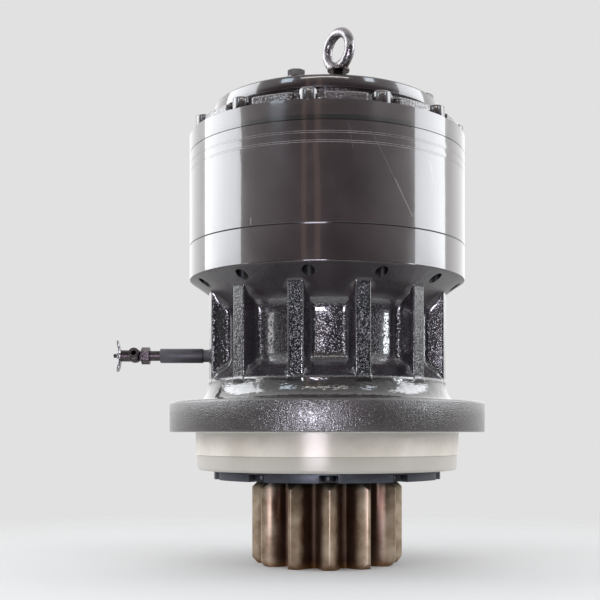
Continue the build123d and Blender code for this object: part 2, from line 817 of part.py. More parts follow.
# Bearings: outer rings in the housing, inner rings on the shaft, caged rollers between them
bearings = {
    "lower": (lower_bearing_bore, lower_bearing_outer, lower_bearing_width, lower_bearing_floor),
    "upper": (upper_bearing_bore, upper_bearing_outer, upper_bearing_width, upper_bearing_floor),
}
for place, (bore, outer, width, floor) in bearings.items():
    inner_track, outer_track, roller_radius, roller_circle = bearing_sizes(bore, outer)
    with BuildPart() as outer_ring:
        with BuildSketch(Plane.XY.offset(floor)):
            Circle(outer)
            Circle(outer_track, mode=Mode.SUBTRACT)
        extrude(amount=width)
    finish(outer_ring, f"{place}_bearing_outer_ring")
    with BuildPart() as inner_ring:
        with BuildSketch(Plane.XY.offset(floor)):
            Circle(inner_track)
            Circle(bore, mode=Mode.SUBTRACT)
        extrude(amount=width)
    finish(inner_ring, f"{place}_bearing_inner_ring")
    with BuildPart() as rollers:
        with BuildSketch(Plane.XY.offset(floor + roller_end_gap)):
            with PolarLocations(roller_circle, roller_count):
                Circle(roller_radius)
        extrude(amount=width - 2 * roller_end_gap)
    finish(rollers, f"{place}_bearing_rollers")
    with BuildPart() as cage:
        with BuildSketch(Plane.XY.offset(floor + cage_end_gap)):
            Circle(roller_circle + cage_wall / 2)
            Circle(roller_circle - cage_wall / 2, mode=Mode.SUBTRACT)
        extrude(amount=width - 2 * cage_end_gap)
        with BuildSketch(Plane.XY.offset(floor + roller_end_gap - cage_clearance)):
            with PolarLocations(roller_circle, roller_count):
                Circle(roller_radius + cage_clearance)
        extrude(amount=width - 2 * (roller_end_gap - cage_clearance), mode=Mode.SUBTRACT)
    finish(cage, f"{place}_bearing_cage")

# Spacer sleeve between the inner rings
with BuildPart() as bearing_spacer:
    with BuildSketch(Plane.XY.offset(lower_bearing_top)):
        Circle(spacer_radius)
        Circle(upper_bearing_bore + bearing_clearance, mode=Mode.SUBTRACT)
    extrude(amount=upper_bearing_floor - lower_bearing_top)
finish(bearing_spacer, "bearing_spacer")

# Bearing retainer: a ring with open slots for its screws, holding the lower bearing and the seal
with BuildPart() as bearing_retainer:
    with BuildSketch(Plane.XZ):
        with BuildLine():
            Polyline(
                (seal_radius + seal_fit, retainer_floor),
                (retainer_radius, retainer_floor),
                (retainer_radius, -spigot_length),
                (lower_bearing_outer - retainer_clearance, -spigot_length),
                (lower_bearing_outer - retainer_clearance, lower_bearing_floor),
                (seal_radius + seal_fit, lower_bearing_floor),
                close=True,
            )
        make_face()
    revolve(axis=Axis.Z)
    with BuildSketch(Plane.XY.offset(retainer_floor)):
        with retainer_screw_places():
            Circle(retainer_slot_width / 2)
            with Locations((retainer_slot_width / 2, 0)):
                Rectangle(retainer_slot_width, retainer_slot_width)
    extrude(amount=retainer_thickness - retainer_slot_floor, mode=Mode.SUBTRACT)
    with BuildSketch(Plane.XY.offset(-spigot_length)):
        with retainer_screw_places():
            Circle(retainer_screw_radius + screw_clearance)
    extrude(amount=-retainer_slot_floor, mode=Mode.SUBTRACT)
finish(bearing_retainer, "bearing_retainer")

with BuildPart() as retainer_screws:
    retainer_seat = -spigot_length - retainer_slot_floor
    with BuildSketch(Plane.XY.offset(retainer_seat)):
        with retainer_screw_places():
            Circle(retainer_head_radius)
    extrude(amount=retainer_slot_floor - retainer_thickness + retainer_head_sink)
    with BuildSketch(Plane.XY.offset(retainer_seat)):
        with retainer_screw_places():
            Circle(retainer_screw_radius)
    extrude(amount=retainer_screw_length)
    with BuildSketch(Plane.XY.offset(retainer_floor + retainer_head_sink)):
        with retainer_screw_places():
            RegularPolygon(retainer_socket_width / 2, 6, major_radius=False)
    extrude(amount=retainer_screw_radius, mode=Mode.SUBTRACT)
finish(retainer_screws, "retainer_screws")

# Oil seal, in the retainer's bore, running on the shaft's collar
with BuildPart() as oil_seal:
    with BuildSketch(Plane.XY.offset(retainer_floor)):
        Circle(seal_radius)
        Circle(seal_land_radius + seal_clearance, mode=Mode.SUBTRACT)
    extrude(amount=retainer_thickness)
finish(oil_seal, "oil_seal")

# Output shaft: pinion, seal collar, both bearing journals and the carrier's spline in one forging
with BuildPart() as pinion_shaft:
    pinion_bottom = pinion_top - pinion_length
    pinion_tip = pinion_module * (pinion_teeth / 2 + 1 + pinion_shift)
    bevel_end = pinion_tip + pinion_overcut
    bevel_rise = pinion_chamfer + pinion_overcut
    with BuildSketch(Plane.XY.offset(pinion_bottom)):
        add(pinion_outline())
    extrude(amount=pinion_length)
    # The teeth are bevelled at both ends
    with BuildSketch(Plane.XZ):
        with BuildLine():
            Polyline(
                (0, pinion_bottom),
                (pinion_tip - pinion_chamfer, pinion_bottom),
                (bevel_end, pinion_bottom + bevel_rise),
                (bevel_end, pinion_top - bevel_rise),
                (pinion_tip - pinion_chamfer, pinion_top),
                (0, pinion_top),
                close=True,
            )
        make_face()
    revolve(axis=Axis.Z, mode=Mode.INTERSECT)
    with BuildSketch(Plane.XZ):
        with BuildLine():
            Polyline(
                (0, pinion_top),
                (seal_land_radius, pinion_top),
                (seal_land_radius, lower_bearing_floor),
                (lower_bearing_bore, lower_bearing_floor),
                (lower_bearing_bore, lower_bearing_top),
                (upper_bearing_bore, lower_bearing_top),
                (upper_bearing_bore, upper_bearing_top),
                (0, upper_bearing_top),
                close=True,
            )
        make_face()
    revolve(axis=Axis.Z)
    with BuildSketch(Plane.XY.offset(upper_bearing_top)):
        add(straight_spline(spline_teeth, spline_root_radius, spline_tip_radius))
    extrude(amount=shaft_end_height - upper_bearing_top)
    with BuildSketch(Plane.XY.offset(shaft_end_height)):
        with PolarLocations(end_screw_circle_radius, end_screw_count):
            Circle(end_screw_radius + thread_clearance)
    extrude(amount=-end_screw_length, mode=Mode.SUBTRACT)
    with BuildSketch(Plane.XY.offset(pinion_bottom)):
        Circle(shaft_centre_radius)
    extrude(amount=shaft_centre_depth, taper=shaft_centre_taper, mode=Mode.SUBTRACT)
finish(pinion_shaft, "pinion_shaft")


def pin_places(centre):
    """The places of a stage's planet pins."""
    return [on_circle(centre, angle) for angle in planet_angles]


def web_sketch(centre, planet_teeth):
    """The webs that join a carrier's two cheeks, between the planets."""
    planet_tip = gear_module * (planet_teeth / 2 + 1) + web_gap
    with BuildSketch() as webs:
        Circle(carrier_radius)
        Circle(web_inner_radius, mode=Mode.SUBTRACT)
        with Locations(*pin_places(centre)):
            Circle(planet_tip, mode=Mode.SUBTRACT)
    return webs.sketch


# Second carrier: keyed to the shaft by its spline and clamped by the end plate
with BuildPart() as second_carrier:
    with BuildSketch(Plane.XZ):
        with BuildLine():
            Polyline(
                (0, upper_bearing_top),
                (second_hub_radius, upper_bearing_top),
                (second_hub_radius, second_carrier_floor),
                (carrier_radius - carrier_chamfer, second_carrier_floor),
                (carrier_radius, second_carrier_floor + carrier_chamfer),
                (carrier_radius, second_carrier_top),
                (0, second_carrier_top),
                close=True,
            )
        make_face()
    revolve(axis=Axis.Z)
    with BuildSketch(Plane.XY.offset(second_cheek_bottom)):
        Circle(carrier_radius + carrier_side_gap)
        add(web_sketch(second_centre, second_planet_teeth), mode=Mode.SUBTRACT)
    extrude(amount=second_cheek_floor - second_cheek_bottom, mode=Mode.SUBTRACT)
    with BuildSketch(Plane.XY.offset(second_cheek_floor)):
        Circle(cheek_bore_radius)
    extrude(amount=second_cheek_thickness, mode=Mode.SUBTRACT)
    with BuildSketch(Plane.XY.offset(shaft_end_height)):
        Circle(end_plate_radius + end_plate_clearance)
    extrude(amount=second_cheek_bottom - shaft_end_height, mode=Mode.SUBTRACT)
    with BuildSketch(Plane.XY.offset(upper_bearing_top)):
        add(straight_spline(spline_teeth, spline_root_radius, spline_tip_radius, spline_fit))
    extrude(amount=shaft_end_height - upper_bearing_top, mode=Mode.SUBTRACT)
    with BuildSketch(Plane.XY.offset(second_carrier_top)):
        with Locations(*pin_places(second_centre)):
            Circle(second_pin_radius + pin_fit)
    extrude(amount=second_carrier_floor - second_carrier_top, mode=Mode.SUBTRACT)
finish(second_carrier, "second_carrier")

with BuildPart() as second_planet_pins:
    with BuildSketch(Plane.XY.offset(second_carrier_floor)):
        with Locations(*pin_places(second_centre)):
            Circle(second_pin_radius)
    extrude(amount=second_carrier_top - second_carrier_floor)
finish(second_planet_pins, "second_planet_pins")

# End plate and screws that hold the second carrier on the shaft
with BuildPart() as shaft_end_plate:
    with BuildSketch(Plane.XY.offset(shaft_end_height)):
        Circle(end_plate_radius)
        with PolarLocations(end_screw_circle_radius, end_screw_count):
            Circle(end_screw_radius + screw_clearance, mode=Mode.SUBTRACT)
    extrude(amount=end_plate_thickness)
    with BuildSketch(Plane.XY.offset(end_plate_top)):
        with PolarLocations(end_screw_circle_radius, end_screw_count):
            Circle(end_head_radius + screw_clearance)
    extrude(amount=-end_head_height, mode=Mode.SUBTRACT)
finish(shaft_end_plate, "shaft_end_plate")

with BuildPart() as shaft_end_screws:
    with BuildSketch(Plane.XY.offset(end_plate_top)):
        with PolarLocations(end_screw_circle_radius, end_screw_count):
            Circle(end_head_radius)
    extrude(amount=-end_head_height)
    with BuildSketch(Plane.XY.offset(end_plate_top - end_head_height)):
        with PolarLocations(end_screw_circle_radius, end_screw_count):
            Circle(end_screw_radius)
    extrude(amount=end_head_height - end_screw_length)
finish(shaft_end_screws, "shaft_end_screws")

# First carrier: its plate is splined to the second sun gear
with BuildPart() as first_carrier:
    with BuildSketch(Plane.XY.offset(first_carrier_floor)):
        Circle(carrier_radius)
    extrude(amount=first_plate_thickness)
    with BuildSketch(Plane.XY.offset(first_plate_top)):
        add(web_sketch(first_centre, first_planet_teeth))
    extrude(amount=first_cheek_floor - first_plate_top)
    with BuildSketch(Plane.XY.offset(first_cheek_floor)):
        Circle(carrier_radius)
        Circle(cheek_bore_radius, mode=Mode.SUBTRACT)
    extrude(amount=first_cheek_thickness)
    with BuildSketch(Plane.XY.offset(first_carrier_floor)):
        second_sun_start = sun_angle(second_sun_teeth, second_planet_teeth)
        add(spur_gear(second_sun_teeth, second_sun_start, growth=spline_fit))
    extrude(amount=first_plate_thickness, mode=Mode.SUBTRACT)
    with BuildSketch(Plane.XY.offset(first_carrier_top)):
        with Locations(*pin_places(first_centre)):
            Circle(first_pin_radius + pin_fit)
    extrude(amount=first_carrier_floor - first_carrier_top, mode=Mode.SUBTRACT)
finish(first_carrier, "first_carrier")

with BuildPart() as first_planet_pins:
    with BuildSketch(Plane.XY.offset(first_carrier_floor)):
        with Locations(*pin_places(first_centre)):
            Circle(first_pin_radius)
    extrude(amount=first_carrier_top - first_carrier_floor)
finish(first_planet_pins, "first_planet_pins")

# Second sun gear: long enough to mesh with its planets and to fill the first carrier's spline
with BuildPart() as second_sun_gear:
    with BuildSketch(Plane.XY.offset(second_gear_floor)):
        add(spur_gear(second_sun_teeth, second_sun_start, gear_thinning))
    extrude(amount=first_plate_top - second_gear_floor)
    with BuildSketch(Plane.XY.offset(first_plate_top)):
        Circle(input_pad_radius + pad_fit)
    extrude(amount=-input_pad_recess, mode=Mode.SUBTRACT)
finish(second_sun_gear, "second_sun_gear")

# Thrust pads that set the suns' heights
with BuildPart() as second_sun_thrust_pad:
    with BuildSketch(Plane.XY.offset(end_plate_top)):
        Circle(thrust_pad_radius)
    extrude(amount=thrust_pad_thickness)
finish(second_sun_thrust_pad, "second_sun_thrust_pad")

with BuildPart() as input_sun_thrust_pad:
    pad_floor = first_plate_top - input_pad_recess
    with BuildSketch(Plane.XY.offset(pad_floor)):
        Circle(input_pad_radius)
    extrude(amount=first_gear_floor - thrust_pad_gap - pad_floor)
finish(input_sun_thrust_pad, "input_sun_thrust_pad")

# Input sun gear: first sun and motor coupling in one piece
with BuildPart() as input_sun_gear:
    first_sun_start = sun_angle(first_sun_teeth, first_planet_teeth)
    with BuildSketch(Plane.XY.offset(first_gear_floor)):
        add(spur_gear(first_sun_teeth, first_sun_start, gear_thinning))
    extrude(amount=first_face_width)
    with BuildSketch(Plane.XY.offset(first_gear_floor + first_face_width)):
        Circle(input_hub_radius)
    extrude(amount=input_top - first_gear_floor - first_face_width)
    with BuildSketch(Plane.XY.offset(input_top)):
        add(straight_spline(input_spline_teeth, input_spline_tip_radius, input_spline_root_radius))
    extrude(amount=first_gear_floor + first_face_width / 2 - input_top, mode=Mode.SUBTRACT)
finish(input_sun_gear, "input_sun_gear")

# Planets and the bushes that they turn on
stages = (
    ("first", first_sun_teeth, first_planet_teeth, first_gear_floor, first_face_width),
    ("second", second_sun_teeth, second_planet_teeth, second_gear_floor, second_face_width),
)
for stage, sun_teeth, planet_teeth, floor, face_width in stages:
    pin_radius = first_pin_radius if stage == "first" else second_pin_radius
    centre = gear_module * (sun_teeth + planet_teeth) / 2
    bush_inner = pin_radius + bush_clearance
    bush_outer = bush_inner + bush_wall
    for number, angle in enumerate(planet_angles, start=1):
        place = on_circle(centre, angle)
        with BuildPart() as planet:
            with BuildSketch(Plane((*place, floor))):
                start = planet_angle(sun_teeth, planet_teeth, angle)
                add(spur_gear(planet_teeth, start, gear_thinning))
                Circle(bush_outer, mode=Mode.SUBTRACT)
            extrude(amount=face_width)
        finish(planet, f"{stage}_planet_{number}")
        with BuildPart() as bush:
            with BuildSketch(Plane((*place, floor))):
                Circle(bush_outer)
                Circle(bush_inner, mode=Mode.SUBTRACT)
            extrude(amount=face_width)
        finish(bush, f"{stage}_planet_bush_{number}")
    # Thrust washers on the carrier's cheeks, under and over the planets
    with BuildPart() as washers:
        under = floor - planet_end_clearance - planet_washer_thickness
        over = floor + face_width + planet_end_clearance
        for level in (under, over):
            with BuildSketch(Plane.XY.offset(level)):
                with Locations(*pin_places(centre)):
                    Circle(bush_outer + planet_washer_step)
                    Circle(bush_inner, mode=Mode.SUBTRACT)
            extrude(amount=planet_washer_thickness)
    finish(washers, f"{stage}_planet_washers")


def across(reach):
    """The plane across the drain pipe at a distance from the gearbox axis, facing outwards."""
    return Plane((-reach, 0, drain_height), x_dir=(0, 1, 0), z_dir=(-1, 0, 0))


# Drain nipple, screwed into the housing's boss
with BuildPart() as drain_nipple:
    thread_start = drain_boss_reach - drain_thread_depth + drain_thread_gap
    with BuildSketch(across(thread_start)):
        Circle(drain_thread_radius - thread_clearance)
    extrude(amount=drain_boss_reach - thread_start)
    with BuildSketch(across(drain_boss_reach)):
        RegularPolygon(drain_hexagon_width / 2, 6, major_radius=False)
    extrude(amount=drain_hexagon_length)
    with BuildSketch(across(drain_boss_reach + drain_hexagon_length)):
        Circle(drain_neck_radius)
    extrude(amount=drain_pipe_start - drain_boss_reach - drain_hexagon_length)
    with BuildSketch(across(thread_start)):
        Circle(drain_passage_radius)
    extrude(amount=drain_pipe_start - thread_start, mode=Mode.SUBTRACT)
finish(drain_nipple, "drain_nipple")

with BuildPart() as drain_pipe:
    with BuildSketch(across(drain_pipe_start)):
        Circle(drain_pipe_radius)
        Circle(drain_passage_radius, mode=Mode.SUBTRACT)
    extrude(amount=drain_pipe_end - drain_pipe_start)
finish(drain_pipe, "drain_pipe")

# Drain cock: body with its outlet to the front, turning plug, wing handle and nut
with BuildPart() as drain_cock_body:
    with BuildSketch(across(drain_pipe_end)):
        Circle(cock_stub_radius)
    extrude(amount=cock_ball_reach - drain_pipe_end)
    with BuildSketch(across(cock_hexagon_start)):
        RegularPolygon(cock_hexagon_width / 2, 6, major_radius=False, rotation=30)
    extrude(amount=cock_hexagon_end - cock_hexagon_start)
    with Locations((-cock_ball_reach, 0, drain_height)):
        Sphere(cock_ball_radius)
    with BuildSketch(across(cock_ball_reach)):
        Circle(cock_collar_radius)
    extrude(amount=cock_collar_end - cock_ball_reach)
    tilt = radians(cock_outlet_tilt)
    outlet = Plane((-cock_ball_reach, 0, drain_height), x_dir=(1, 0, 0), z_dir=(0, -cos(tilt), sin(tilt)))
    with BuildSketch(outlet):
        Circle(cock_outlet_radius)
    extrude(amount=cock_outlet_length)
    with BuildSketch(outlet):
        Circle(cock_bore_radius)
    extrude(amount=cock_outlet_length, mode=Mode.SUBTRACT)
    with BuildSketch(across(drain_pipe_end)):
        Circle(cock_bore_radius)
    extrude(amount=cock_ball_reach - drain_pipe_end, mode=Mode.SUBTRACT)
    plug_start = cock_ball_reach - cock_plug_radius - cock_plug_end
    with BuildSketch(across(plug_start)):
        Circle(cock_plug_radius + cock_plug_clearance)
    extrude(amount=cock_collar_end - plug_start, mode=Mode.SUBTRACT)
finish(drain_cock_body, "drain_cock_body")

with BuildPart() as drain_cock_plug:
    with BuildSketch(across(plug_start + cock_plug_clearance)):
        Circle(cock_plug_radius)
    extrude(amount=cock_collar_end - plug_start - cock_plug_clearance)
    with BuildSketch(across(cock_collar_end)):
        Circle(cock_stem_radius)
    extrude(amount=cock_stem_length)
    with BuildSketch(across(plug_start)):
        Circle(cock_plug_bore)
    extrude(amount=cock_ball_reach - plug_start + cock_plug_end, mode=Mode.SUBTRACT)
    with BuildSketch(Plane.XY.offset(drain_height)):
        with Locations((-cock_ball_reach, 0)):
            Circle(cock_plug_port)
    extrude(amount=cock_plug_radius + cock_plug_end, mode=Mode.SUBTRACT)
finish(drain_cock_plug, "drain_cock_plug")

# Wing handle: stamped plate with two bent wings
with BuildPart() as drain_wing_handle:
    handle_floor = cock_collar_end + cock_plug_clearance
    handle_back = handle_floor + handle_thickness
    handle_lean = (handle_span / 2 - handle_flat) * tan(radians(handle_bend))
    with BuildSketch(Plane.XZ):
        with BuildLine():
            Polyline(
                (-handle_floor, drain_height - handle_flat),
                (-handle_floor, drain_height + handle_flat),
                (-handle_floor - handle_lean, drain_height + handle_span / 2),
                (-handle_back - handle_lean, drain_height + handle_span / 2),
                (-handle_back, drain_height + handle_flat),
                (-handle_back, drain_height - handle_flat),
                (-handle_back - handle_lean, drain_height - handle_span / 2),
                (-handle_floor - handle_lean, drain_height - handle_span / 2),
                close=True,
            )
        make_face()
    extrude(amount=handle_tip_radius, both=True)
    with BuildSketch(across(handle_floor)):
        Circle(handle_hub_radius)
        tip_height = handle_span / 2 - handle_tip_radius
        for side in (1, -1):
            with BuildLine():
                Polyline(
                    (-handle_waist, 0),
                    (handle_waist, 0),
                    (handle_tip_radius, side * tip_height),
                    (-handle_tip_radius, side * tip_height),
                    close=True,
                )
            make_face()
            with Locations((0, side * tip_height)):
                Circle(handle_tip_radius)
        Circle(cock_stem_radius, mode=Mode.SUBTRACT)
    extrude(amount=handle_thickness + handle_lean, mode=Mode.INTERSECT)
finish(drain_wing_handle, "drain_wing_handle")

with BuildPart() as drain_handle_nut:
    with BuildSketch(across(handle_floor + handle_thickness)):
        RegularPolygon(handle_nut_width / 2, 6, major_radius=False)
        Circle(cock_stem_radius, mode=Mode.SUBTRACT)
    extrude(amount=handle_nut_length)
finish(drain_handle_nut, "drain_handle_nut")
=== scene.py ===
import math

import bmesh
import bpy
import numpy as np
from mathutils import Matrix, Vector


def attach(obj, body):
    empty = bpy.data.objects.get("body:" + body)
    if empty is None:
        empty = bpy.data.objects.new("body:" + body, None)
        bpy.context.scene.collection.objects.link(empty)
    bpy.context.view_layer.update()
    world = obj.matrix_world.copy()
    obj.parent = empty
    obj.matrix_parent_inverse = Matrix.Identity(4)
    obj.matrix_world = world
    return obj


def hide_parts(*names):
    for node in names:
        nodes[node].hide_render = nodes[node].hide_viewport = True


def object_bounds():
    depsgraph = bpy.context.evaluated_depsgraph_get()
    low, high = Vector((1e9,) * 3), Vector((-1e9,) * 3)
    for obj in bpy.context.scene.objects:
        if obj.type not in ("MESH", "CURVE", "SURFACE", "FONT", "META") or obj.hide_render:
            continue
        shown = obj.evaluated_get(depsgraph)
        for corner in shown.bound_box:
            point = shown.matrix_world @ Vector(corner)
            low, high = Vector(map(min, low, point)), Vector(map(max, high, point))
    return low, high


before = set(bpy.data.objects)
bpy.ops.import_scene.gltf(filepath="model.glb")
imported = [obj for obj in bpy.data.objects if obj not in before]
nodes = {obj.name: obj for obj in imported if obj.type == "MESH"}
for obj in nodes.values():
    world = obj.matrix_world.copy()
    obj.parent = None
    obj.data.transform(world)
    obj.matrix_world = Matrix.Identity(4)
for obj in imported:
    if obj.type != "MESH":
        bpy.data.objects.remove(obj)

cad_box = [list(corner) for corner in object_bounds()]
scene = bpy.context.scene

# View and studio. The gearbox stands on its pinion on pale paper and is photographed from
# 1.26 m in front, level with its mounting flange. Two tall soft boxes stand to its left and
# right, with their lower edges above the flange; the room is dark in front and pale behind.

camera_distance = 1.260
camera_height = -0.0016
camera = bpy.data.objects.new("camera", bpy.data.cameras.new("camera"))
camera.data.lens = 62.0
camera.data.sensor_width = 36.0
camera.data.shift_x = -0.0453
camera.data.shift_y = 0.2225
camera.location = (0, -camera_distance, camera_height)
camera.rotation_euler = (math.pi / 2, 0, 0)
scene.collection.objects.link(camera)
scene.camera = camera
scene.view_settings.view_transform = "Standard"


def linear(code):
    """An sRGB hex value as a linear colour."""
    parts = [int(code[i:i + 2], 16) / 255 for i in (1, 3, 5)]
    return tuple(c / 12.92 if c <= 0.04045 else ((c + 0.055) / 1.055) ** 2.4 for c in parts) + (1,)


def add(tree, kind, values=None, links=None, **settings):
    """Add a node to a tree, with its settings, its socket values and its links."""
    node = tree.nodes.new(kind)
    for name, value in settings.items():
        setattr(node, name, value)
    for socket, value in (values or {}).items():
        node.inputs[socket].default_value = value
    for socket, source in (links or {}).items():
        tree.links.new(source, node.inputs[socket])
    return node


def new_material(name):
    """An empty node material and its tree."""
    material = bpy.data.materials.new(name)
    material.use_nodes = True
    material.node_tree.nodes.clear()
    return material, material.node_tree


# How bright the room's walls are, and between which parts of a direction they change: Y points
# behind the gearbox and Z up. Low down, a skirting takes some of the light away, more of it in
# front, where it also stands higher.
backdrop_colour = "#E1E1E1"
front_light = 0.13
back_light = 1.35
pale_span = (-0.92, 0.60)
skirting_share = (0.20, 0.50)
skirting_span = (-0.10, 0.30)
skirting_top = (0.03, 0.14)
skirting_rise = 0.07
rise_end = 0.35
world = bpy.data.worlds.new("studio")
scene.world = world
world.use_nodes = True
tree = world.node_tree
tree.nodes.clear()
place = add(tree, "ShaderNodeTexCoord")
axes = add(tree, "ShaderNodeSeparateXYZ", links={0: place.outputs["Generated"]})
behind = add(tree, "ShaderNodeMapRange",
             {"From Min": pale_span[0], "From Max": pale_span[1], "To Min": front_light, "To Max": back_light},
             {"Value": axes.outputs["Y"]})
skirting = add(tree, "ShaderNodeMapRange",
               {"From Min": skirting_span[0], "From Max": skirting_span[1],
                "To Min": skirting_share[0], "To Max": skirting_share[1]},
               {"Value": axes.outputs["Y"]})
lower = add(tree, "ShaderNodeMapRange",
            {"From Min": 0.0, "From Max": rise_end, "To Min": -skirting_rise, "To Max": 0.0},
            {"Value": axes.outputs["Y"]})
above = add(tree, "ShaderNodeMath", links={0: axes.outputs["Z"], 1: lower.outputs[0]})
low_wall = add(tree, "ShaderNodeMapRange",
               {"From Min": skirting_top[0], "From Max": skirting_top[1], "To Max": 1.0},
               {"Value": above.outputs[0], "To Min": skirting.outputs[0]})
wall = add(tree, "ShaderNodeMath", links={0: behind.outputs[0], 1: low_wall.outputs[0]}, operation="MULTIPLY")
room = add(tree, "ShaderNodeBackground", {"Color": (1, 1, 1, 1)}, {"Strength": wall.outputs[0]})
seen = add(tree, "ShaderNodeBackground", {"Color": linear(backdrop_colour), "Strength": 1.0})
# The camera, and whatever is clear, shows the flat backdrop. Gloss mirrors the room: its pale
# wall behind the gearbox stands for the backdrop there, and its dark front for the open studio.
path = add(tree, "ShaderNodeLightPath").outputs
straight = add(tree, "ShaderNodeMath", links={0: path["Is Camera Ray"], 1: path["Is Transmission Ray"]},
               operation="MAXIMUM")
both = add(tree, "ShaderNodeMixShader", links={0: straight.outputs[0], 1: room.outputs[0], 2: seen.outputs[0]})
add(tree, "ShaderNodeOutputWorld", links={0: both.outputs[0]})

floor_radius = 1.6
floor_sides = 96
floor_colour = "#D6D6D6"
floor_fade = (0.40, 0.95)
floor_mesh = bpy.data.meshes.new("floor")
rim = [(floor_radius * math.cos(a), floor_radius * math.sin(a), cad_box[0][2])
       for a in (2 * math.pi * i / floor_sides for i in range(floor_sides))]
floor_mesh.from_pydata(rim, [], [tuple(range(floor_sides))])
floor = bpy.data.objects.new("floor", floor_mesh)
scene.collection.objects.link(floor)

# Pale studio paper: matt, it takes a soft shadow under the gearbox and fades into the backdrop.
material, tree = new_material("pale_studio_paper")
place = add(tree, "ShaderNodeTexCoord")
distance = add(tree, "ShaderNodeVectorMath", links={0: place.outputs["Object"]}, operation="LENGTH")
fade = add(tree, "ShaderNodeMapRange", {"From Min": floor_fade[0], "From Max": floor_fade[1]},
           {"Value": distance.outputs["Value"]}, interpolation_type="SMOOTHSTEP")
lit = add(tree, "ShaderNodeBsdfDiffuse", {"Color": linear(floor_colour)})
clear = add(tree, "ShaderNodeBsdfTransparent")
mixed = add(tree, "ShaderNodeMixShader", links={0: fade.outputs[0], 1: lit.outputs[0], 2: clear.outputs[0]})
add(tree, "ShaderNodeOutputMaterial", links={0: mixed.outputs[0]})
floor_mesh.materials.append(material)

# The lamps are area lights. A radiance of 1 is as bright as white paper. Those for gloss alone
# are only mirrored, and those for matt surfaces alone aren't mirrored.
lamps = (
    # name, place, turn in degrees, width, height, radiance, colour, what it lights
    ("left_soft_box", (-1.35, 0.04, 0.86), (90, 0, -90), 1.10, 0.98, 3.2, "#F6FAFF", "both"),
    ("right_soft_box", (1.35, -0.035, 0.86), (90, 0, 90), 0.87, 0.98, 3.2, "#F6FAFF", "both"),
    ("front_strip_near", (-0.19, -1.55, 0.45), (90, 0, -7), 0.12, 1.3, 0.24, "#FFD4B8", "both"),
    ("front_strip_far", (-0.47, -1.50, 0.45), (90, 0, -17.5), 0.10, 1.3, 0.24, "#FFD4B8", "both"),
    ("low_lamp", (-0.22, -1.39, -0.01), (90, 0, -9), 0.40, 0.26, 23.0, "#F3EEFF", "gloss"),
    ("ceiling_strip", (-0.05, -1.40, 1.05), (54, 0, -2), 1.20, 0.06, 6.0, "#FFFAF4", "both"),
    ("window_left", (-0.95, -1.20, 0.95), (60, 0, -38), 0.30, 0.30, 4.0, "#DCEDFC", "both"),
    ("window_right", (0.95, -1.10, 1.00), (58, 0, 41), 0.24, 0.28, 4.5, "#E8F2FC", "both"),
    ("low_box_left", (-1.28, -0.62, 0.23), (90, 0, -64), 0.16, 0.20, 3.2, "#FFFFFF", "both"),
    ("low_box_right", (1.27, -0.53, 0.23), (90, 0, 67), 0.14, 0.20, 12.0, "#F4FAFF", "both"),
    ("front_fill", (0, -1.9, 0.9), (66, 0, 0), 1.8, 1.4, 0.36, "#FFFFFF", "matt"),
    ("side_fill_left", (-1.3, -1.1, 0.35), (82, 0, -50), 0.8, 0.9, 3.4, "#FFFFFF", "matt"),
    ("side_fill_right", (1.3, -1.1, 0.35), (82, 0, 50), 0.8, 0.9, 2.8, "#FFFFFF", "matt"),
)
for name, spot, turn, width, height, radiance, colour, lights in lamps:
    lamp = bpy.data.lights.new(name, "AREA")
    lamp.shape = "RECTANGLE"
    lamp.size = width
    lamp.size_y = height
    lamp.energy = radiance * math.pi * width * height
    lamp.color = linear(colour)[:3]
    lamp_object = bpy.data.objects.new(name, lamp)
    lamp_object.location = spot
    lamp_object.rotation_euler = [math.radians(a) for a in turn]
    lamp_object.visible_camera = False
    lamp_object.visible_glossy = lights != "matt"
    lamp_object.visible_diffuse = lights != "gloss"
    scene.collection.objects.link(lamp_object)

# Lower housing: one grey iron casting, moulded in sand, with the mounting flange, the waist
# with its twelve ribs and the flange for the ring gear. Spigot, bores and joint faces are
# turned, the bolt holes drilled, and all but the spigot and the bores gets a dark gloss enamel.

# Radii from the axis and heights above the underside of the mounting flange, in metres; angles
# in degrees.
core_radius = 0.1195
waist_radius = 0.144
rib_reach = 0.1437
rib_half_width = 0.009
rib_count = 12
rib_start = 16.0
casing_radius = 0.166
roof_start = 0.147
roof_slope = 0.98
roof_fillet = 0.012
cone_edge = 0.1825
cone_slope = 0.53
ledge_height = 0.061
ledge_slope = math.tan(math.radians(33))
corner_round = 0.0018
rib_foot = 0.008
pocket_round = 0.010
front_round = 0.0018
round_start = 0.0005
round_depth = 0.008
casing_edge_round = 0.0008
ledge_edge_round = 0.0016
casting_top = 0.222
joint_round = 0.0008
screw_circle = 0.154
screw_count = 12
first_screw = -7.5
screw_hole_radius = 0.00705
screw_hole_length = 0.080
first_dowel = 7.5
dowel_hole_radius = 0.00502
dowel_hole_length = 0.0125
frame_bolt_circle = 0.1725
frame_hole_radius = 0.009
frame_hole_length = 0.045
retainer_screw_circle = 0.1265
retainer_screw_count = 10
retainer_hole_radius = 0.00505
retainer_hole_length = 0.040
first_retainer_screw = 18.7
drain_height = 0.093
drain_boss_radius = 0.014
drain_hole_radius = 0.0066


def round_union(a, b, radius):
    """Signed distance to two solids joined with a concave fillet."""
    inner = np.maximum(radius - a, 0) ** 2 + np.maximum(radius - b, 0) ** 2
    return np.maximum(radius, np.minimum(a, b)) - np.sqrt(inner)


def round_common(a, b, radius):
    """Signed distance to what two solids share, with its outer edge rounded."""
    outer = np.maximum(radius + a, 0) ** 2 + np.maximum(radius + b, 0) ** 2
    return np.minimum(-radius, np.maximum(a, b)) + np.sqrt(outer)


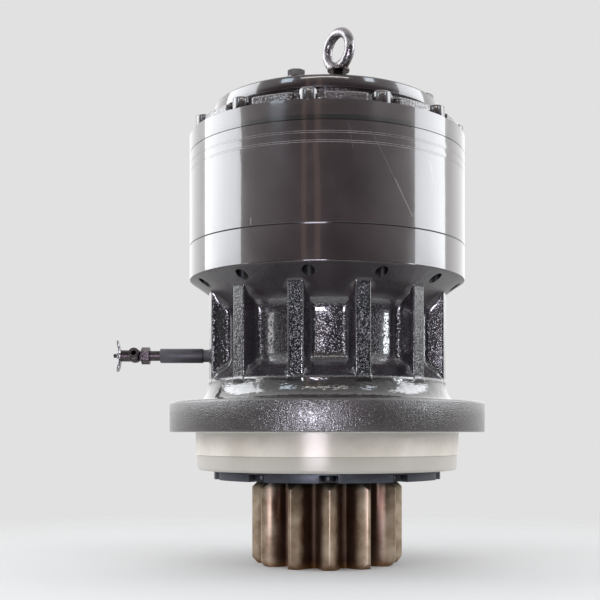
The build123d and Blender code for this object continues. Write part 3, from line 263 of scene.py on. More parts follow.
def waist(rho, turn, z):
    """Signed distance to the casting between the flare and the upper flange."""
    roof = (roof_start + (rho - core_radius) * roof_slope - z) / math.hypot(1, roof_slope)
    cone = (cone_edge + (rho - casing_radius) * cone_slope - z) / math.hypot(1, cone_slope)
    ledge = (z - ledge_height - (waist_radius - rho) * ledge_slope) / math.hypot(1, ledge_slope)
    top = round_common(rho - casing_radius, round_union(roof, cone, roof_fillet), casing_edge_round)
    base = round_common(rho - waist_radius, ledge, ledge_edge_round)
    x = rho * np.cos(turn) - (rib_reach - corner_round)
    y = np.abs(rho * np.sin(turn)) - (rib_half_width - corner_round)
    rib = np.hypot(np.maximum(x, 0), np.maximum(y, 0)) + np.minimum(np.maximum(x, y), 0) - corner_round
    deep = np.clip((rib_reach - rho - round_start) / round_depth, 0, 1)
    fillet = front_round + (pocket_round - front_round) * deep * deep * (3 - 2 * deep)
    shape = round_union(rho - core_radius, rib, rib_foot)
    shape = round_union(shape, top, fillet)
    return round_union(shape, base, fillet)


def spun(name, rows, angles, closed=False):
    """A piece spun about Z. A row is (radius, height) in metres, each of them one number or one
    for each angle. A closed profile comes back to its first row; otherwise it ends at poles."""
    grid = np.array([np.stack([r * np.cos(angles), r * np.sin(angles), z + 0 * angles], 1) for r, z in rows])
    across = len(angles)
    bm = bmesh.new()
    points = [bm.verts.new(p) for p in grid.reshape(-1, 3)]
    for row in range(len(rows) if closed else len(rows) - 1):
        below = (row + 1) % len(rows)
        for column in range(across):
            after = (column + 1) % across
            bm.faces.new((points[row * across + column], points[below * across + column],
                          points[below * across + after], points[row * across + after]))
    bmesh.ops.remove_doubles(bm, verts=bm.verts, dist=1e-7)
    if bm.calc_volume(signed=True) < 0:
        bmesh.ops.reverse_faces(bm, faces=bm.faces)
    return piece_from(bm, name)


def piece_from(bm, name):
    """A new object from a bmesh."""
    mesh = bpy.data.meshes.new(name)
    bm.to_mesh(mesh)
    bm.free()
    thing = bpy.data.objects.new(name, mesh)
    scene.collection.objects.link(thing)
    return thing


def applied(thing):
    """Turn an object and its modifiers into a plain mesh."""
    bpy.context.view_layer.update()
    result = bpy.data.meshes.new_from_object(thing.evaluated_get(bpy.context.evaluated_depsgraph_get()))
    thing.modifiers.clear()
    thing.data = result
    return thing


def carve(thing, cutters, operation="DIFFERENCE"):
    """Cut the solids of a bmesh out of a piece, or join them to it."""
    tool = piece_from(cutters, "tool")
    modifier = thing.modifiers.new("carve", "BOOLEAN")
    modifier.operation = operation
    modifier.solver = "EXACT"
    modifier.object = tool
    applied(thing)
    bpy.data.objects.remove(tool)


def cylinder(bm, centre, axis, radius, length, sides=24):
    """Add a closed cylinder to a bmesh, about its centre along an axis."""
    turn = Vector((0, 0, 1)).rotation_difference(Vector(axis)).to_matrix().to_4x4()
    bmesh.ops.create_cone(bm, cap_ends=True, segments=sides, radius1=radius, radius2=radius, depth=length,
                          matrix=Matrix.Translation(centre) @ turn)


def around(radius, degrees, z):
    """A point at a radius, an angle and a height."""
    return Vector((radius * math.cos(math.radians(degrees)), radius * math.sin(math.radians(degrees)), z))


def set_finishes(thing, *materials):
    """Give a piece these finishes, in this order, and no others."""
    thing.data.materials.clear()
    for material in materials:
        thing.data.materials.append(material)


def smooth_to(thing, degrees):
    """Shade a piece smooth, with the edges over an angle kept sharp."""
    bm = bmesh.new()
    bm.from_mesh(thing.data)
    for face in bm.faces:
        face.smooth = True
    for edge in bm.edges:
        edge.smooth = len(edge.link_faces) == 2 and edge.calc_face_angle(math.pi) < math.radians(degrees)
    bm.to_mesh(thing.data)
    bm.free()


# Half of the angles between the middles of two pockets, in degrees from the middle of a rib, and
# the heights of the rows in millimetres. Both lie closer together where the casting curves more.
half_sector = (0, 1.4, 2.3, 2.7, 3.0, 3.2, 3.36, 3.48, 3.58, 3.68, 3.8, 3.92, 4.05, 4.18, 4.32, 4.5,
               4.75, 5.1, 5.6, 6.3, 7.1, 8.0, 9.3, 11.0, 13.0, 15.0)
sector = [-a for a in reversed(half_sector[1:-1])] + list(half_sector)
turns = np.radians(np.tile(sector, rib_count))
angles = np.radians(np.repeat(rib_start + 360.0 / rib_count * np.arange(rib_count), len(sector))) + turns
levels = (222, 221.6, 221.2, 212, 200, 190, 184, 183.3, 182.9, 182.5, 182.1, 181.6, 181, 179, 177, 175,
          173.5, 172.5, 171.5, 170.5, 169.5, 168.5, 167.5, 166.5, 165, 163, 161, 159, 157, 155, 153, 151,
          149, 147, 145, 143, 141, 138.5, 135, 128, 118, 108, 100, 94, 90, 87, 85, 83, 81, 79.5, 78, 76.5,
          75, 73.5, 72, 70, 68, 66, 64.5, 63, 62, 61.4, 60.9, 60.3, 59.5, 58.5, 57.5)
# In each direction the outside of the casting is found by halving, between a radius that lies
# in the iron and one that lies outside it.
halvings = 30
surely_inside = core_radius - 0.004
surely_outside = casing_radius + 0.006
rows = []
for z in (level / 1000 for level in levels):
    inside = np.full(len(angles), surely_inside)
    outside = np.full(len(angles), surely_outside)
    for _ in range(halvings):
        middle = (outside + inside) / 2
        solid = waist(middle, turns, z) < 0
        inside = np.where(solid, middle, inside)
        outside = np.where(solid, outside, middle)
    rows.append((np.minimum(inside, casing_radius - joint_round + max(casting_top - z, 0)), z))
# Below the pockets and in the bores the casting is round: (radius, height) in millimetres, down
# the flare, the mounting flange and the spigot, and up again through the bores.
flare = ((144.12, 56), (144.38, 54), (144.72, 52), (145.15, 50), (145.7, 48), (146.4, 46), (147.35, 44),
         (148.6, 42), (150.2, 40), (151.9, 38.5), (154, 37.3), (157, 36.4), (161, 36), (170, 36),
         (186.8, 36), (187.9, 35.75), (188.9, 35.1), (189.6, 34.1), (190, 33), (190, 20), (190, 1.6),
         (189.7, 0.6), (188.8, 0), (174, 0), (159.6, 0), (159, -0.6), (159, -13), (159, -26.6),
         (158.7, -27), (157, -27.1), (157, -41.6), (156.6, -42.6), (154.6, -44.7), (153.8, -45))
bores = ((116, -45), (115, -44), (115, 23), (105, 23), (105, 98), (92, 98), (92, 106), (100, 106),
         (100, 166), (122, 166), (137.5, 180), (137.5, 218), (142.05, 218), (142.05, 221.4), (142.6, 222))
rows += [(radius / 1000, z / 1000) for radius, z in flare + bores]
housing = spun("lower_housing_casting", rows, angles, closed=True)
boss = bmesh.new()
cylinder(boss, (-0.1205, 0, drain_height), (1, 0, 0), drain_boss_radius, 0.011, 48)
carve(housing, boss, "UNION")
holes = bmesh.new()
screw_places = [around(screw_circle, first_screw + 360 / screw_count * i, 0.190) for i in range(screw_count)]
for i, screw_place in enumerate(screw_places):
    cylinder(holes, screw_place, (0, 0, 1), screw_hole_radius, screw_hole_length)
    cylinder(holes, around(frame_bolt_circle, 360 / screw_count * i, 0.018), (0, 0, 1),
             frame_hole_radius, frame_hole_length, 32)
for i in range(retainer_screw_count):
    angle = first_retainer_screw + 360 / retainer_screw_count * i
    cylinder(holes, around(retainer_screw_circle, angle, -0.035), (0, 0, 1),
             retainer_hole_radius, retainer_hole_length)
for i in range(2):
    cylinder(holes, around(screw_circle, first_dowel + 180 * i, 0.2165), (0, 0, 1),
             dowel_hole_radius, dowel_hole_length)
cylinder(holes, (-0.122, 0, drain_height), (1, 0, 0), drain_hole_radius, 0.024)
carve(housing, holes)
smooth_to(housing, 34)


def finish(name, shades, gloss, bumps, metallic=0.0, cloud=45.0, coat=0.0, coat_gloss=0.04, ior=1.5, stains=(),
           drawn=0.0, cast_from=None):
    """A procedural finish; sizes are in millimetres.

    shades: two colours, mottled in clouds of a size. gloss: the roughness where the clouds are
    dark and where they are light. bumps: (grain size, height, stretch in x, y and z) and, for
    drops that stand apart on a flat skin, the level of the noise below which it stays flat.
    stains: (measure, start, end, colour, amount), where the measure is the height, the distance
    from the axis, or how much of its surroundings a point in a hollow sees; the clouds break up
    their edges. drawn: how far the rings of a lathe draw a highlight out along the axis.
    cast_from: the height above which the bumps show, where a turned rim lies below them.
    """
    cloud_dark, cloud_light = 0.35, 0.65
    hollow_reach = 0.018
    material, tree = new_material(name)
    where = add(tree, "ShaderNodeTexCoord").outputs["Object"]
    clouds = add(tree, "ShaderNodeTexNoise", {"Scale": 1000 / cloud, "Detail": 4.0, "Roughness": 0.6},
                 {"Vector": where}).outputs[0]
    mottle = add(tree, "ShaderNodeMapRange", {"From Min": cloud_dark, "From Max": cloud_light},
                 {"Value": clouds}).outputs[0]
    colour = add(tree, "ShaderNodeMix", {6: linear(shades[0]), 7: linear(shades[1])}, {0: mottle},
                 data_type="RGBA").outputs[2]
    for measure, start, end, shade, amount in stains:
        if measure == "hollow":
            value = add(tree, "ShaderNodeAmbientOcclusion", {"Distance": hollow_reach}, samples=8).outputs["AO"]
            spread = 0.5
        elif measure == "height":
            value = add(tree, "ShaderNodeSeparateXYZ", links={0: where}).outputs["Z"]
            start, end, spread = start / 1000, end / 1000, 0.6 * abs(end - start) / 1000
        else:
            flat = add(tree, "ShaderNodeVectorMath", {1: (1, 1, 0)}, {0: where}, operation="MULTIPLY").outputs[0]
            value = add(tree, "ShaderNodeVectorMath", links={0: flat}, operation="LENGTH").outputs["Value"]
            start, end, spread = start / 1000, end / 1000, 0.6 * abs(end - start) / 1000
        edge = add(tree, "ShaderNodeMath", {1: -0.5}, {0: clouds}, operation="ADD").outputs[0]
        value = add(tree, "ShaderNodeMath", {1: spread}, {0: edge, 2: value}, operation="MULTIPLY_ADD").outputs[0]
        mask = add(tree, "ShaderNodeMapRange", {"From Min": start, "From Max": end, "To Max": amount},
                   {"Value": value}, interpolation_type="SMOOTHSTEP").outputs[0]
        colour = add(tree, "ShaderNodeMix", {7: linear(shade)}, {0: mask, 6: colour}, data_type="RGBA").outputs[2]
    relief = None
    for size, depth, stretch, *flat in bumps:
        spot = add(tree, "ShaderNodeMapping", {"Scale": stretch}, {"Vector": where}).outputs[0]
        grain = add(tree, "ShaderNodeTexNoise", {"Scale": 1000 / size, "Detail": 1.0}, {"Vector": spot}).outputs[0]
        lumps = add(tree, "ShaderNodeMapRange", {"From Min": flat[0] if flat else 0.0, "To Max": depth},
                    {"Value": grain}).outputs[0]
        relief = add(tree, "ShaderNodeMath", links={0: lumps, 1: relief}).outputs[0] if relief else lumps
    if cast_from is not None:
        height = add(tree, "ShaderNodeSeparateXYZ", links={0: where}).outputs["Z"]
        cast = add(tree, "ShaderNodeMapRange",
                   {"From Min": cast_from / 1000, "From Max": (cast_from + 0.4) / 1000},
                   {"Value": height}).outputs[0]
        relief = add(tree, "ShaderNodeMath", links={0: relief, 1: cast}, operation="MULTIPLY").outputs[0]
    normal = add(tree, "ShaderNodeBump", {"Strength": 1.0, "Distance": 0.001}, {"Height": relief}).outputs[0]
    rough = add(tree, "ShaderNodeMapRange",
                {"From Min": cloud_dark, "From Max": cloud_light, "To Min": gloss[0], "To Max": gloss[1]},
                {"Value": clouds}).outputs[0]
    surface = add(tree, "ShaderNodeBsdfPrincipled",
                  {"Metallic": metallic, "IOR": ior, "Coat Weight": coat, "Coat Roughness": coat_gloss,
                   "Coat IOR": 1.8},
                  {"Base Color": colour, "Roughness": rough, "Normal": normal, "Coat Normal": normal})
    if drawn:
        surface.inputs["Anisotropic"].default_value = drawn
        axis = add(tree, "ShaderNodeCombineXYZ", {"Z": 1.0}).outputs[0]
        tree.links.new(axis, surface.inputs["Tangent"])
    add(tree, "ShaderNodeOutputMaterial", links={0: surface.outputs[0]})
    return material


# Gloss enamel run thickly over sand-cast iron: it mirrors the studio in small wet lumps, and
# brown dust and oil stay in the corners of the pockets.
cast_enamel = finish("gloss_enamel_on_sand_cast_iron", ("#1E1F26", "#2B2C35"), (0.14, 0.22),
                     ((1.7, 0.75, (1, 1, 1), 0.55), (6.0, 0.20, (1, 1, 1))), coat=1.0, coat_gloss=0.03, ior=1.8,
                     stains=(("hollow", 0.62, 0.25, "#3A2A22", 0.8),))
# Inside the pockets it lies smoother, with brown dirt in the corners.
pocket_enamel = finish("gloss_enamel_in_cast_pockets", ("#26212A", "#322C34"), (0.15, 0.23),
                       ((1.8, 0.30, (1, 1, 1), 0.54), (8.0, 0.14, (1, 1, 1))), coat=1.0, coat_gloss=0.05, ior=1.6,
                       stains=(("hollow", 0.66, 0.30, "#3E2A20", 0.9),))
# Where it flowed out over the flare, the same enamel is smoother and mirrors in long streaks.
flowed_enamel = finish("gloss_enamel_flowed_on_cast_iron", ("#1F1B1E", "#2A2528"), (0.16, 0.24),
                       ((3.6, 0.22, (0.5, 0.5, 2.0)), (10.0, 0.35, (1, 1, 1))), coat=1.0, coat_gloss=0.04, ior=1.8)
# Under the upper flange the enamel was sprayed thin and dry: a satin skin.
satin_enamel = finish("satin_enamel_on_cast_iron", ("#2C2529", "#3A3236"), (0.34, 0.46),
                      ((2.4, 0.22, (1, 1, 1)), (9.0, 0.40, (1, 1, 1))), coat=0.5, coat_gloss=0.30, ior=1.6)
# The same enamel over turned iron: almost a mirror, with the faint rings of the lathe tool. The
# real rings are finer; here they are drawn wide enough to show.
enamel_shades = ("#2E2225", "#3B2E31")
turned_enamel = finish("gloss_enamel_on_turned_iron", enamel_shades, (0.14, 0.22),
                       ((1.6, 0.014, (0.02, 0.02, 1)), (7.0, 0.020, (1, 1, 1))), coat=1.0, coat_gloss=0.03, ior=1.8)
# Enamel over the rough turned rim of the mounting flange: fine bright sparkle.
flange_enamel = finish("gloss_enamel_on_rough_turned_iron", ("#231B1C", "#302728"), (0.30, 0.38),
                       ((1.3, 0.36, (1, 1, 1), 0.37), (6.0, 0.10, (1, 1, 1))), coat=1.0, coat_gloss=0.04, ior=1.7)
# Bare turned iron with a thin film of old oil: a soft sheen drawn out across the tool's rings,
# which are wider here than real ones so that they show. Everything above 4 mm below the flange
# is painted paler: a painted highlight along the top of the spigot.
bare_iron = finish("bare_turned_iron", ("#DDD5CB", "#EFE8DF"), (0.33, 0.41),
                   ((1.4, 0.030, (0.02, 0.02, 1)), (0.9, 0.006, (1, 1, 1))), metallic=0.18, drawn=0.85,
                   stains=(("height", -5.0, -4.2, "#E9E5DC", 0.9), ("height", -26.8, -27.2, "#BAB6B0", 0.8)))
# Black grease and painted shade inside the screw holes: their thread is painted unlit.
greasy_shaded_hole = finish("greasy_drilled_iron", ("#0B0A0B", "#151416"), (0.40, 0.55), ((1.5, 0.05, (1, 1, 1)),))
housing_finishes = (cast_enamel, turned_enamel, flange_enamel, bare_iron, greasy_shaded_hole, satin_enamel,
                    flowed_enamel, pocket_enamel)
set_finishes(housing, *housing_finishes)

# Where one finish meets the next, by radius and height in metres.
half_pitch = 180 / rib_count
hole_edge = 0.00715
hole_span = (0.168, 0.2215)
spigot_start = -0.0003
bore_edge = 0.1175
joint_bore_edge = 0.1435
joint_bore_start = 0.1655
flange_edge = 0.188
flange_end = 0.0362
flare_edge = 0.1435
flare_end = 0.0605
rib_end = 0.17
corner_edge = (0.0022, 0.0020)
pocket_edge = 0.1415
pocket_span = (0.0600, 0.165)
dry_start = 0.150
turned_edge = 0.1648
turned_start = 0.182
for face in housing.data.polygons:
    x, y, z = face.center
    radius = math.hypot(x, y)
    from_hole = min((Vector((x, y)) - screw_place.xy).length for screw_place in screw_places)
    inward = x * face.normal.x + y * face.normal.y < -0.3 * radius
    in_joint = z > joint_bore_start and radius < joint_bore_edge and (inward or face.normal.z > 0.5)
    turn = math.radians((math.degrees(math.atan2(y, x)) - rib_start + half_pitch) % (2 * half_pitch) - half_pitch)
    on_corner = (radius * math.cos(turn) > rib_reach - corner_edge[0]
                 and abs(radius * math.sin(turn)) > rib_half_width - corner_edge[1])
    if from_hole < hole_edge and hole_span[0] < z < hole_span[1]:
        here = greasy_shaded_hole
    elif z < spigot_start or radius < bore_edge or in_joint:
        here = bare_iron
    elif z > turned_start and radius > turned_edge:
        here = turned_enamel
    elif z > dry_start and face.normal.z < -0.35:
        here = satin_enamel
    elif (flange_end < z < flare_end and radius > flare_edge) or (flare_end < z < rib_end and on_corner):
        here = flowed_enamel
    elif pocket_span[0] < z < pocket_span[1] and radius < pocket_edge:
        here = pocket_enamel
    elif z < flange_end and radius > flange_edge:
        here = flange_enamel
    else:
        here = cast_enamel
    face.material_index = housing_finishes.index(here)
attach(housing, "housing")
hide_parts("lower_housing")

# Bearings of the output shaft: two roller bearings with hardened, ground rings and rollers in
# machined brass cages, and a turned steel spacer that holds their inner rings apart.


def dress(material, *names):
    """Give CAD nodes their finish."""
    for name in names:
        for slot in nodes[name].material_slots:
            slot.material = material


# Hardened chrome steel, ground and honed: a clear mirror with a faint grinding grain.
bearing_steel = finish("ground_chrome_steel", ("#B4B5B8", "#C6C7C9"), (0.10, 0.18),
                       ((0.6, 0.004, (0.05, 0.05, 1)),), metallic=1.0)
# Machined brass with a film of oil: warm, with soft tool rings.
cage_brass = finish("machined_brass", ("#9C7B3C", "#B8964F"), (0.24, 0.36),
                    ((1.0, 0.015, (0.05, 0.05, 1)),), metallic=1.0)
# Turned carbon steel, oiled: grey with a brown tint.
turned_steel = finish("oiled_turned_steel", ("#77716B", "#8D8780"), (0.26, 0.38),
                      ((1.2, 0.020, (0.03, 0.03, 1)),), metallic=1.0)
for place in ("lower", "upper"):
    dress(bearing_steel, place + "_bearing_inner_ring", place + "_bearing_outer_ring", place + "_bearing_rollers")
    dress(cage_brass, place + "_bearing_cage")
dress(turned_steel, "bearing_spacer")

# Output pinion: one alloy steel forging with its shaft, twelve case-hardened teeth cut and
# bevelled at both ends, splines at the top. It was heat-treated brown and is wet with oil.

worn_edge = 0.0007


def merged(node):
    """A bmesh of a CAD node, with its loose triangles joined into flat faces."""
    bm = bmesh.new()
    bm.from_mesh(nodes[node].data)
    bmesh.ops.remove_doubles(bm, verts=bm.verts, dist=1e-7)
    bmesh.ops.dissolve_limit(bm, angle_limit=math.radians(0.1), verts=bm.verts, edges=bm.edges)
    return bm


def softened(node, name, width):
    """A new piece from a CAD node's mesh, with its edges sharper than 30 degrees rounded."""
    bm = merged(node)
    for edge in bm.edges:
        edge.smooth = True
    thing = piece_from(bm, name)
    bevel = thing.modifiers.new("worn edges", "BEVEL")
    bevel.width = width
    bevel.segments = 2
    bevel.limit_method = "ANGLE"
    bevel.angle_limit = math.radians(30)
    applied(thing)
    smooth_to(thing, 34)
    return thing


# Case-hardened alloy steel, brown from the furnace and oiled: lighter streaks run along the
# teeth. The gaps between the teeth are painted dark red-brown, painted shade with the old oil
# that fills them, and the shaft is painted near-black up under the retainer: painted shade.
pinion_steel = finish("oiled_case_hardened_steel", ("#8A745F", "#BAA893"), (0.30, 0.44),
                      ((2.0, 0.05, (1, 1, 0.06)), (1.1, 0.02, (1, 1, 1))), metallic=0.62, cloud=26.0, drawn=0.6,
                      stains=(("radius", 86, 75, "#3C1E12", 0.90), ("height", -149, -157, "#6E4A22", 0.8),
                              ("height", -68, -61, "#1E241C", 0.8)))
pinion = softened("pinion_shaft", "output_pinion", worn_edge)
set_finishes(pinion, pinion_steel)
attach(pinion, "output_shaft")
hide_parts("pinion_shaft")

# Bearing retainer: a steel ring, milled with ten open slots and oxidised blue-black. Ten
# socket screws in the slots hold it under the housing, and an oil seal sits in its bore.

milled_edge = 0.0006

# Blue-black oxidised steel: nearly matt, with a soft blue-grey sheen.
black_oxide = finish("black_oxidised_steel", ("#3F424A", "#555861"), (0.36, 0.50),
                     ((1.1, 0.05, (1, 1, 1)), (6.0, 0.06, (1, 1, 1))), metallic=0.55)
retainer = softened("bearing_retainer", "bearing_retainer_ring", milled_edge)
set_finishes(retainer, black_oxide)
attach(retainer, "housing")
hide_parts("bearing_retainer")

# Screws and bolts stand in rings: these nodes repeat one fastener around a circle, each of them
# stopped at an angle of its own, as when they are tightened.
ring_tree = bpy.data.node_groups.new("ring of fasteners", "GeometryNodeTree")
ring_tree.interface.new_socket("Geometry", in_out="OUTPUT", socket_type="NodeSocketGeometry")
for label, kind in (("Fastener", "Geometry"), ("Count", "Int"), ("Circle radius", "Float"),
                    ("Start angle", "Float"), ("Height", "Float"), ("Turn jitter", "Float"),
                    ("Seed", "Int"), ("Finish", "Material")):
    ring_tree.interface.new_socket(label, in_out="INPUT", socket_type="NodeSocket" + kind)
given = add(ring_tree, "NodeGroupInput").outputs
circle = add(ring_tree, "GeometryNodeMeshCircle",
             links={"Vertices": given["Count"], "Radius": given["Circle radius"]})
start = add(ring_tree, "ShaderNodeCombineXYZ", links={"Z": given["Start angle"]})
lift = add(ring_tree, "ShaderNodeCombineXYZ", links={"Z": given["Height"]})
turned_circle = add(ring_tree, "GeometryNodeTransform",
                    links={"Geometry": circle.outputs[0], "Translation": lift.outputs[0],
                           "Rotation": start.outputs[0]})
clocked = add(ring_tree, "FunctionNodeRandomValue", links={"Max": given["Turn jitter"], "Seed": given["Seed"]},
              data_type="FLOAT")
turned_by = add(ring_tree, "ShaderNodeCombineXYZ", links={"Z": clocked.outputs[1]})
placed = add(ring_tree, "GeometryNodeInstanceOnPoints",
             links={"Points": turned_circle.outputs[0], "Instance": given["Fastener"],
                    "Rotation": turned_by.outputs[0]})
real = add(ring_tree, "GeometryNodeRealizeInstances", links={0: placed.outputs[0]})
finished = add(ring_tree, "GeometryNodeSetMaterial", links={0: real.outputs[0], "Material": given["Finish"]})
add(ring_tree, "NodeGroupOutput", links={0: finished.outputs[0]})


def ring_of(fastener, **sizes):
    """Repeat one fastener around a circle and make the result a plain mesh."""
    modifier = fastener.modifiers.new("ring", "NODES")
    modifier.node_group = ring_tree
    for item in ring_tree.interface.items_tree:
        label = item.name.lower().replace(" ", "_")
        if item.in_out == "INPUT" and label in sizes:
            modifier[item.identifier] = sizes[label]
    return applied(fastener)


def hexagon(angles, width):
    """The radius of a hexagon of a width across its flats, at each angle."""
    return width / 2 / np.cos((angles + math.pi / 6) % (math.pi / 3) - math.pi / 6)


def socket_screw(name, head_radius, head_height, shank_radius, length, socket_width, knurls, ridge):
    """A socket head screw standing on z = 0, with a knurled side and a hexagon socket."""
    columns = knurls * 2
    angles = 2 * math.pi * np.arange(columns) / columns
    side = head_radius - ridge * (np.arange(columns) % 2)
    six = hexagon(angles, socket_width)
    rim = socket_width / 2 / math.cos(math.pi / 6) + 0.0005
    crown = 0.16 * head_radius
    rows = [(0, -length), (shank_radius - 0.0012, -length), (shank_radius, -length + 0.0012),
            (shank_radius, -0.0002), (shank_radius + 0.0006, 0), (head_radius - 0.0012, 0),
            (head_radius - 0.0004, 0.0006), (side, 0.0016), (side, head_height - crown - 0.0004),
            (head_radius - 0.0003, head_height - crown + 0.0004)]
    rows += [(head_radius - crown * (1 - math.cos(a)), head_height - crown * (1 - math.sin(a)))
             for a in (math.radians(t) for t in (20, 45, 68, 90))]
    rows += [(rim, head_height), (six - 0.0001, head_height - 0.0009), (six - 0.0001, head_height * 0.5),
             (0.5 * six, head_height * 0.44), (0, head_height * 0.42)]
    return spun(name, rows, angles)


# The retainer's screws, M10: the same black oxide, oily, and painted darker: painted shade of the slots they sit
# in.
oily_shaded_oxide = finish("oily_black_oxidised_steel", ("#26272C", "#34363C"), (0.30, 0.42),
                     ((0.9, 0.03, (1, 1, 1)),), metallic=0.6)
slot_floor = -0.0475
screws = socket_screw("retainer_socket_screws", 0.008, 0.0075, 0.0049, 0.0300, 0.008, 24, 0.0002)
screws.data.transform(Matrix.Rotation(math.pi, 4, "X"))
ring_of(screws, count=retainer_screw_count, circle_radius=retainer_screw_circle,
        start_angle=math.radians(first_retainer_screw), height=slot_floor,
        turn_jitter=2 * math.pi, seed=3, finish=oily_shaded_oxide)
smooth_to(screws, 30)
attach(screws, "housing")
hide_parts("retainer_screws")
# Moulded nitrile rubber over a pressed case: satin black.
seal_rubber = finish("moulded_nitrile_rubber", ("#161618", "#202023"), (0.42, 0.55), ((1.0, 0.02, (1, 1, 1)),))
dress(seal_rubber, "oil_seal")

# Second stage: the output carrier, splined on the shaft and clamped by an end plate with three
# screws, three planets on bronze bushes and pins, and the sun that the first stage drives.

# Ground gear steel in oil: bright flanks with a brown film.
gear_steel = finish("oiled_ground_gear_steel", ("#85807A", "#A09B95"), (0.20, 0.32),
                    ((1.0, 0.015, (1, 1, 0.1)),), metallic=1.0)
# Cast and machined carrier iron, oiled.
carrier_iron = finish("oiled_nodular_iron", ("#615C58", "#7A746F"), (0.30, 0.45),
                      ((2.2, 0.10, (1, 1, 1)), (1.0, 0.02, (0.05, 0.05, 1))), metallic=0.9)
# Sintered bronze: matt gold-brown with fine pores.
bronze = finish("sintered_bronze", ("#8A6A3A", "#A47F4A"), (0.34, 0.48), ((0.8, 0.03, (1, 1, 1)),), metallic=1.0)
dress(carrier_iron, "second_carrier", "shaft_end_plate")
dress(oily_shaded_oxide, "shaft_end_screws")
dress(gear_steel, "second_sun_gear", *(f"second_planet_{i}" for i in (1, 2, 3)))
dress(bronze, "second_planet_washers", "second_sun_thrust_pad", *(f"second_planet_bush_{i}" for i in (1, 2, 3)))
dress(bearing_steel, "second_planet_pins")

# Ring gear: a forged steel casing with the internal teeth of both stages. Its outside is turned
# and enamelled, with two pairs of fine scribed lines near the top. Two dowels place each joint.

scribed_heights = (0.3195, 0.3175, 0.3095, 0.3075)
scribe_width = 0.0006
scribe_depth = 0.0002
overcut = 0.0010
scribes = bmesh.new()
ring_gear = piece_from(merged("ring_gear"), "ring_gear_casing")
around_casing = 2 * math.pi * np.arange(240) / 240
for z in scribed_heights:
    groove = spun("groove", ((casing_radius - scribe_depth, z), (casing_radius + overcut, z + 2 * scribe_width),
                             (casing_radius + overcut, z - 2 * scribe_width)), around_casing, closed=True)
    scribes.from_mesh(groove.data)
    bpy.data.objects.remove(groove)
carve(ring_gear, scribes)
smooth_to(ring_gear, 20)
# The casing's enamel is the same as on the turned flange; at both joints a dark line of sealing
# compound shows.
casing_enamel = finish("gloss_enamel_on_turned_steel", enamel_shades, (0.14, 0.22),
                       ((1.6, 0.014, (0.02, 0.02, 1)), (7.0, 0.020, (1, 1, 1))), coat=1.0, coat_gloss=0.03, ior=1.8,
                       stains=(("height", 334.9, 335.1, "#0A0808", 1.0), ("height", 222.9, 222.7, "#0A0808", 1.0)))


def scratched(material, marks, shade):
    """Draw fine straight scratches on the front of a finish, from (x, z) to (x, z) in millimetres,
    each with its half width and how far it shows."""
    tree = material.node_tree
    surface = next(node for node in tree.nodes if node.type == "BSDF_PRINCIPLED")
    where = add(tree, "ShaderNodeTexCoord").outputs["Object"]
    depth = add(tree, "ShaderNodeSeparateXYZ", links={0: where}).outputs["Y"]
    front = add(tree, "ShaderNodeMath", {1: 0.0}, {0: depth}, operation="LESS_THAN").outputs[0]
    for x1, z1, x2, z2, half_width, amount in marks:
        line = Vector((x2 - x1, 0, z2 - z1)) / 1000
        side = Vector((line.z, 0, -line.x)).normalized()
        start = Vector((x1, 0, z1)) / 1000
        away = add(tree, "ShaderNodeVectorMath", {1: start}, {0: where}, operation="SUBTRACT").outputs[0]
        along = add(tree, "ShaderNodeVectorMath", {1: line / line.length_squared}, {0: away},
                    operation="DOT_PRODUCT").outputs["Value"]
        across = add(tree, "ShaderNodeVectorMath", {1: side}, {0: away}, operation="DOT_PRODUCT").outputs["Value"]
        off = add(tree, "ShaderNodeMath", links={0: across}, operation="ABSOLUTE").outputs[0]
        near = add(tree, "ShaderNodeMapRange", {"From Max": half_width / 1000, "To Min": amount, "To Max": 0.0},
                   {"Value": off}).outputs[0]
        within = add(tree, "ShaderNodeMath", {1: 0.5, 2: 0.5}, {0: along}, operation="COMPARE").outputs[0]
        shown = add(tree, "ShaderNodeMath", links={0: near, 1: within}, operation="MULTIPLY").outputs[0]
        mask = add(tree, "ShaderNodeMath", links={0: shown, 1: front}, operation="MULTIPLY").outputs[0]
        below = surface.inputs["Base Color"].links[0].from_socket
        colour = add(tree, "ShaderNodeMix", {7: linear(shade)}, {0: mask, 6: below}, data_type="RGBA").outputs[2]
        tree.links.new(colour, surface.inputs["Base Color"])


scratched(casing_enamel, ((49.4, 316.8, 93.2, 233.1, 0.7, 0.16), (73.1, 272.6, 93.2, 233.1, 0.8, 0.35),
                          (-82.4, 231.5, -82.8, 224.2, 0.9, 0.6), (23.2, 327.0, 27.4, 300.8, 0.7, 0.15),
                          (112.0, 300.0, 118.0, 276.0, 0.8, 0.35)), "#B9B2B2")
# Steel laid bare by the scribing tool: fine light lines.
scribed_steel = finish("scribed_steel", ("#A9A3A4", "#CFCBCC"), (0.40, 0.55),
                       ((1.5, 0.02, (1, 1, 1)),), metallic=0.5)
set_finishes(ring_gear, casing_enamel, scribed_steel)
for face in ring_gear.data.polygons:
    in_groove = min(abs(face.center.z - z) for z in scribed_heights) < scribe_width
    face.material_index = int(in_groove and casing_radius - 0.001 < face.center.xy.length < casing_radius - 0.00002)
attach(ring_gear, "housing")
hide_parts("ring_gear")
dress(bearing_steel, "casing_dowels")

# First stage: the input carrier, splined on the second sun, three planets with their bushes,
# pins and washers, and the input sun with the female spline that takes the motor's shaft.

dress(carrier_iron, "first_carrier")
dress(gear_steel, "input_sun_gear", *(f"first_planet_{i}" for i in (1, 2, 3)))
dress(bronze, "first_planet_washers", "input_sun_thrust_pad", *(f"first_planet_bush_{i}" for i in (1, 2, 3)))
dress(bearing_steel, "first_planet_pins")

# Top cover: an iron casting whose rim is turned with the casing; between its twelve spot-faced
# screw seats stand raised cast pads. Long M14 socket screws clamp cover, ring gear and housing.

